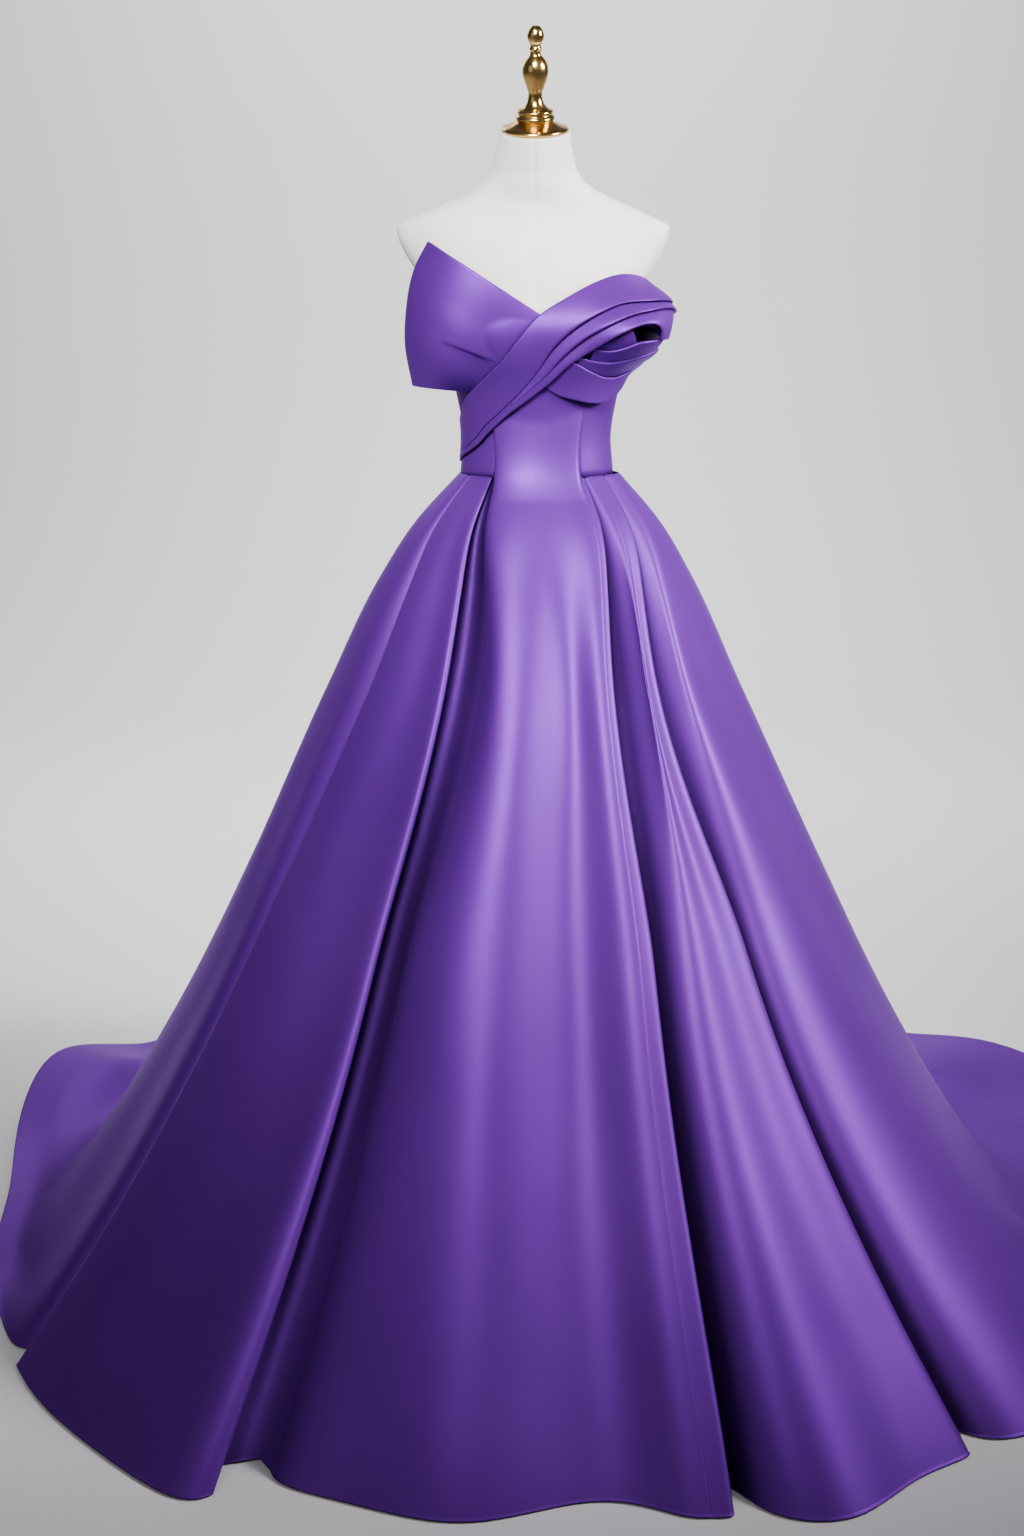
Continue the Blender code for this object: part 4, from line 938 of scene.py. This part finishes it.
def fine_band_rows(count, steps):
    """Rows across the pleated band, from its upper edge to its last lip."""
    columns = resample(np.array(CROSSING) * CROSS_UNITS, count)
    edges = [columns[:, k:k + 2] for k in (0, 2, 4, 6)]
    first, lip, last, drop1, drop2 = columns[:, 8:].T
    run = np.linspace(0, 1, count)
    ledge = LEDGE.drop * ease((run - LEDGE.start) / LEDGE.rise)
    drop1 = np.maximum(drop1, ledge * ease((LEDGE.end - run) / LEDGE.fall))
    base = (first, lip - drop1, lip - drop2, last)
    lips = (lip, lip, last, last)
    tuck = [np.maximum(drop - TUCK_FROM, 0) * TUCK_SHARE
            for drop in (0 * lip, drop1, drop2, 0 * lip)]
    controls = []
    for rail in PLEATED:
        edge = edges[rail.edge]
        if rail.along:
            edge = edge + rail.along * (edges[rail.edge + 1] - edge)
        if rail.tuck:
            edge = moved_back(edge, edges[rail.edge - 1], rail.tuck * tuck[rail.edge])
        lift = base[rail.edge] + rail.height * (lips[rail.edge] - base[rail.edge])
        deg, z = edge.T
        controls.append(at(drape_radius(z, deg) + lift, deg, z))
    controls = [controls[0]] + controls + [controls[-1]]
    u = np.linspace(1, len(controls) - 2, len(PLEATED) * steps)
    return np.stack([bspline(across, u, False) for across in np.stack(controls, 1)], 1)


def bud_rows(edges, count, across):
    """Rows of a piece of the bud, from one edge to the other."""
    edges = resample(np.array(edges) * EDGE_UNITS, count)
    rows = []
    for s in np.linspace(0, 1, across + 1):
        deg, z, lift = ((1 - s) * edges[:, :3] + s * edges[:, 3:]).T
        rows.append(at(drape_radius(z, deg) + lift, deg, z))
    return np.array(rows)


# ---- form
TORSO_STEPS, TORSO_COLUMNS = 6, 128
FORM_SEAM = 1.6 * MM  # how far the cotton sinks into its seams
FRONT_SEAM_WIDTH, NECK_SEAM_WIDTH = 0.0016, 0.0018
NECK_SEAM_Z = 1.553
TURN_STEPS = 6  # rings to each point of a turned profile


def fine_torso(look):
    """The padded torso with its sewn seams."""
    zs = np.array(column(TORSO, "z"))
    levels = [np.linspace(a, b, TORSO_STEPS + 1)[:-1] for a, b in zip(zs, zs[1:])] + [zs[-1:]]
    angles = np.arange(TORSO_COLUMNS) * 2 * math.pi / TORSO_COLUMNS
    degs = (np.degrees(angles) + 180) % 360 - 180
    rings = []
    for z in np.concatenate(levels):
        ring = row_at(TORSO, zs, z)
        aside = degs * math.radians(1) * ring.front
        sink = (FORM_SEAM * np.exp(-(aside / FRONT_SEAM_WIDTH) ** 2)
                + FORM_SEAM * math.exp(-((z - NECK_SEAM_Z) / NECK_SEAM_WIDTH) ** 2))
        depth = np.where(np.cos(angles) > 0, ring.front, ring.back)
        x = ring.x + (ring.side - sink) * np.sin(angles)
        y = ring.y - (depth - sink) * np.cos(angles)
        level = z - ring.droop * np.sin(angles) ** 2 - ring.tilt * np.cos(angles)
        rings.append(np.stack((x, y, level), -1))
    closed_object("form_torso_cotton", rings[::-1], look, "form_torso", "cream_cotton")


def closed_object(name, rings, look, node, slot):
    """Closed body through rings that run downwards, capped at both ends."""
    rings = np.asarray(rings, float)
    result = grid_object(name, rings, look, closed=True)
    mesh = bmesh.new()
    mesh.from_mesh(result.data)
    mesh.verts.ensure_lookup_table()
    count = rings.shape[1]
    last = len(mesh.verts) - count
    mesh.faces.new([mesh.verts[i] for i in range(count)])
    mesh.faces.new([mesh.verts[last + i] for i in range(count)][::-1])
    bmesh.ops.recalc_face_normals(mesh, faces=mesh.faces)
    mesh.to_mesh(result.data)
    mesh.free()
    place(result, node, slot)


def fine_turned(name, profile, look, node, slot, segments=64, tilt=0.0, centre=(0, 0, 0)):
    """Turned body with rounded mouldings, spun from its profile and tilted with the neck."""
    points = np.array([(turn.radius, turn.height) for turn in profile]) * MM
    inner = points[1:-1]
    doubled = np.concatenate([inner[:1], inner, inner[-1:]])
    steps = np.linspace(0.5, len(doubled) - 1.5, len(doubled) * TURN_STEPS)
    line = bspline(doubled, steps, False)
    line = np.concatenate([inner[:1], line, inner[-1:]])
    angles = np.arange(segments) * 2 * math.pi / segments
    rings = []
    for radius, height in line:
        x, y = radius * np.cos(angles), radius * np.sin(angles)
        z = np.full_like(x, height)
        y, z = y * math.cos(tilt) - z * math.sin(tilt), y * math.sin(tilt) + z * math.cos(tilt)
        rings.append(np.stack((x, y, z), -1) + np.array(centre))
    closed_object(name, rings, look, node, slot)


# ---- studio
# Soft lamps: place, aim, width in m, spread in degrees, power in W
Lamp = namedtuple("Lamp", "name spot target size spread power colour")
LAMPS = table(Lamp, (
    ("key", (-0.30, -2.4, 2.8), (-0.02, 0, 1.27), 1, 50, 23, (1, 0.96, 0.97)),
    ("side", (2.7, -0.9, 2.5), (0.25, 0, 1.25), 0.9, 62, 32, (1, 0.94, 0.97)),
    ("fill", (-2.6, -2.8, 1.6), (-0.3, 0, 0.6), 2.2, 180, 7, (1, 0.92, 1)),
    ("rim", (-1.6, 2.6, 3.2), (0, 0, 0.8), 1.8, 180, 22, (1, 0.98, 0.95)),
    ("wash", (0, 2.2, 3.4), (0, 5.4, 1.2), 3, 180, 300, (1, 1, 1)),
))
# Backdrop that bends up behind the part: half its width, the floor's ends, its top, the bend
HALF, NEAR, FAR, TOP, BEND = 9.0, -7.0, 3.4, 6.0, 2.0
WORLD_COLOUR, WORLD_STRENGTH = (0.90, 0.92, 1.0, 1.0), 0.07
# Camera fitted to the photo: sensor height and focal length in mm, place in m, tilt down
SENSOR, FOCAL, CAMERA_SPOT, CAMERA_TILT_DEG = 36.0, 44.4, (-0.035, -2.7, 1.40), 14.23


def backdrop():
    floor = bpy.data.meshes.new("floor")
    bend = [(FAR + BEND * math.sin(a), BEND * (1 - math.cos(a)))
            for a in np.linspace(0.1, math.pi / 2, 14)]
    profile = [(NEAR, 0.0), (FAR, 0.0), *bend, (FAR + BEND, TOP)]
    points = [(x, y, z) for y, z in profile for x in (-HALF, HALF)]
    faces = [(2 * i, 2 * i + 1, 2 * i + 3, 2 * i + 2) for i in range(len(profile) - 1)]
    floor.from_pydata(points, [], faces)
    floor.shade_smooth()
    pale, _, shader = new_material("pale_floor")
    dial(shader, {"Base Color": (0.70, 0.70, 0.71, 1.0), "Roughness": 0.8})
    floor.materials.append(pale)
    linked("floor", floor)


def lights():
    for row in LAMPS:
        lamp = bpy.data.lights.new(row.name, "AREA")
        lamp.size, lamp.energy, lamp.color = row.size, row.power, row.colour
        lamp.spread = math.radians(row.spread)
        holder = linked(row.name, lamp)
        holder.location = row.spot
        holder.visible_camera = False
        aim = np.array(row.target) - np.array(row.spot)
        holder.rotation_euler = (math.atan2(math.hypot(aim[0], aim[1]), -aim[2]), 0,
                                 math.atan2(-aim[0], aim[1]))
    scene = bpy.context.scene
    scene.world = scene.world or bpy.data.worlds.new("world")
    scene.world.use_nodes = True
    dial(scene.world.node_tree.nodes["Background"],
         {"Color": WORLD_COLOUR, "Strength": WORLD_STRENGTH})


def camera():
    lens = bpy.data.cameras.new("camera")
    lens.sensor_fit = "VERTICAL"
    lens.sensor_height, lens.lens = SENSOR, FOCAL
    holder = linked("camera", lens)
    holder.location = CAMERA_SPOT
    holder.rotation_euler = (math.radians(90 - CAMERA_TILT_DEG), 0, 0)
    bpy.context.scene.camera = holder


# ---- the part
# Flat cut of each cloth piece: the smallest rectangle in m, and the cloth's own area in m2
Cut = namedtuple("Cut", "width length area")


def build():
    purple = satin("purple_satin_cloth", (0.088, 0.014, 0.235), (0.125, 0.024, 0.30), 0.47)
    tape = satin("zip_tape_cloth", (0.070, 0.012, 0.28), (0.090, 0.018, 0.33), 0.62)
    cotton = weave("cream_cotton_cloth", (0.74, 0.71, 0.66), (0.82, 0.79, 0.745), 0.85, 900.0)
    gilt = gold("polished_gold_metal")
    white = lacquer("white_stand_paint", (0.80, 0.79, 0.77))

    centre_piece(purple)
    for name, start, end in (("skirt_side_left", "side_left", "princess_left"),
                             ("skirt_side_right", "princess_right", "side_right"),
                             ("skirt_back_right", "side_right", "back"),
                             ("skirt_back_left", "back", "side_left")):
        skirt_piece(name, start, end, purple)
    first = PRINCESS_SEAM[0].deg
    for side, word in ((-1, "left"), (1, "right")):
        bodice_piece("bodice_side_" + word, side, first, SIDE_SEAM_DEG, purple)
        bodice_piece("bodice_back_" + word, side, SIDE_SEAM_DEG, BACK_SEAM_DEG, purple)
    zip_piece(tape)
    wing = hemmed(np.array(wing_rows(WING_ROWS, WING_COLUMNS))[::-1, ::-1])
    cloth_piece("drape_wing", wing, purple, DRAPE_WALL)
    band = hemmed(fine_band_rows(BAND_ROWS, BAND_STEPS)[:, ::-1])
    cloth_piece("drape_band", band, purple, DRAPE_WALL)
    for name, edges, count, across in (
            ("bud_heart", BUD_HEART, 40, 24), ("bud_ring_inner", BUD_RING_INNER, 110, 16),
            ("bud_ring_outer", BUD_RING_OUTER, 110, 24), ("bud_cup", BUD_CUP, 90, 22)):
        rows = hemmed(bud_rows(edges, count, across))
        cloth_piece(name, rows, purple, BUD_WALL)
    fine_torso(cotton)
    for node, profile in (("neck_cap", NECK_CAP), ("finial", FINIAL)):
        fine_turned(node + "_gilt", profile, gilt, node, "polished_gold",
                    tilt=NECK_TILT, centre=CAP_CENTRE)
    fine_turned("stand_pole_paint", STAND_POLE, white, "stand_pole", "white_stand")
    fine_turned("stand_base_paint", STAND_BASE, white, "stand_base", "white_stand", 96)


build()
backdrop()
lights()
camera()
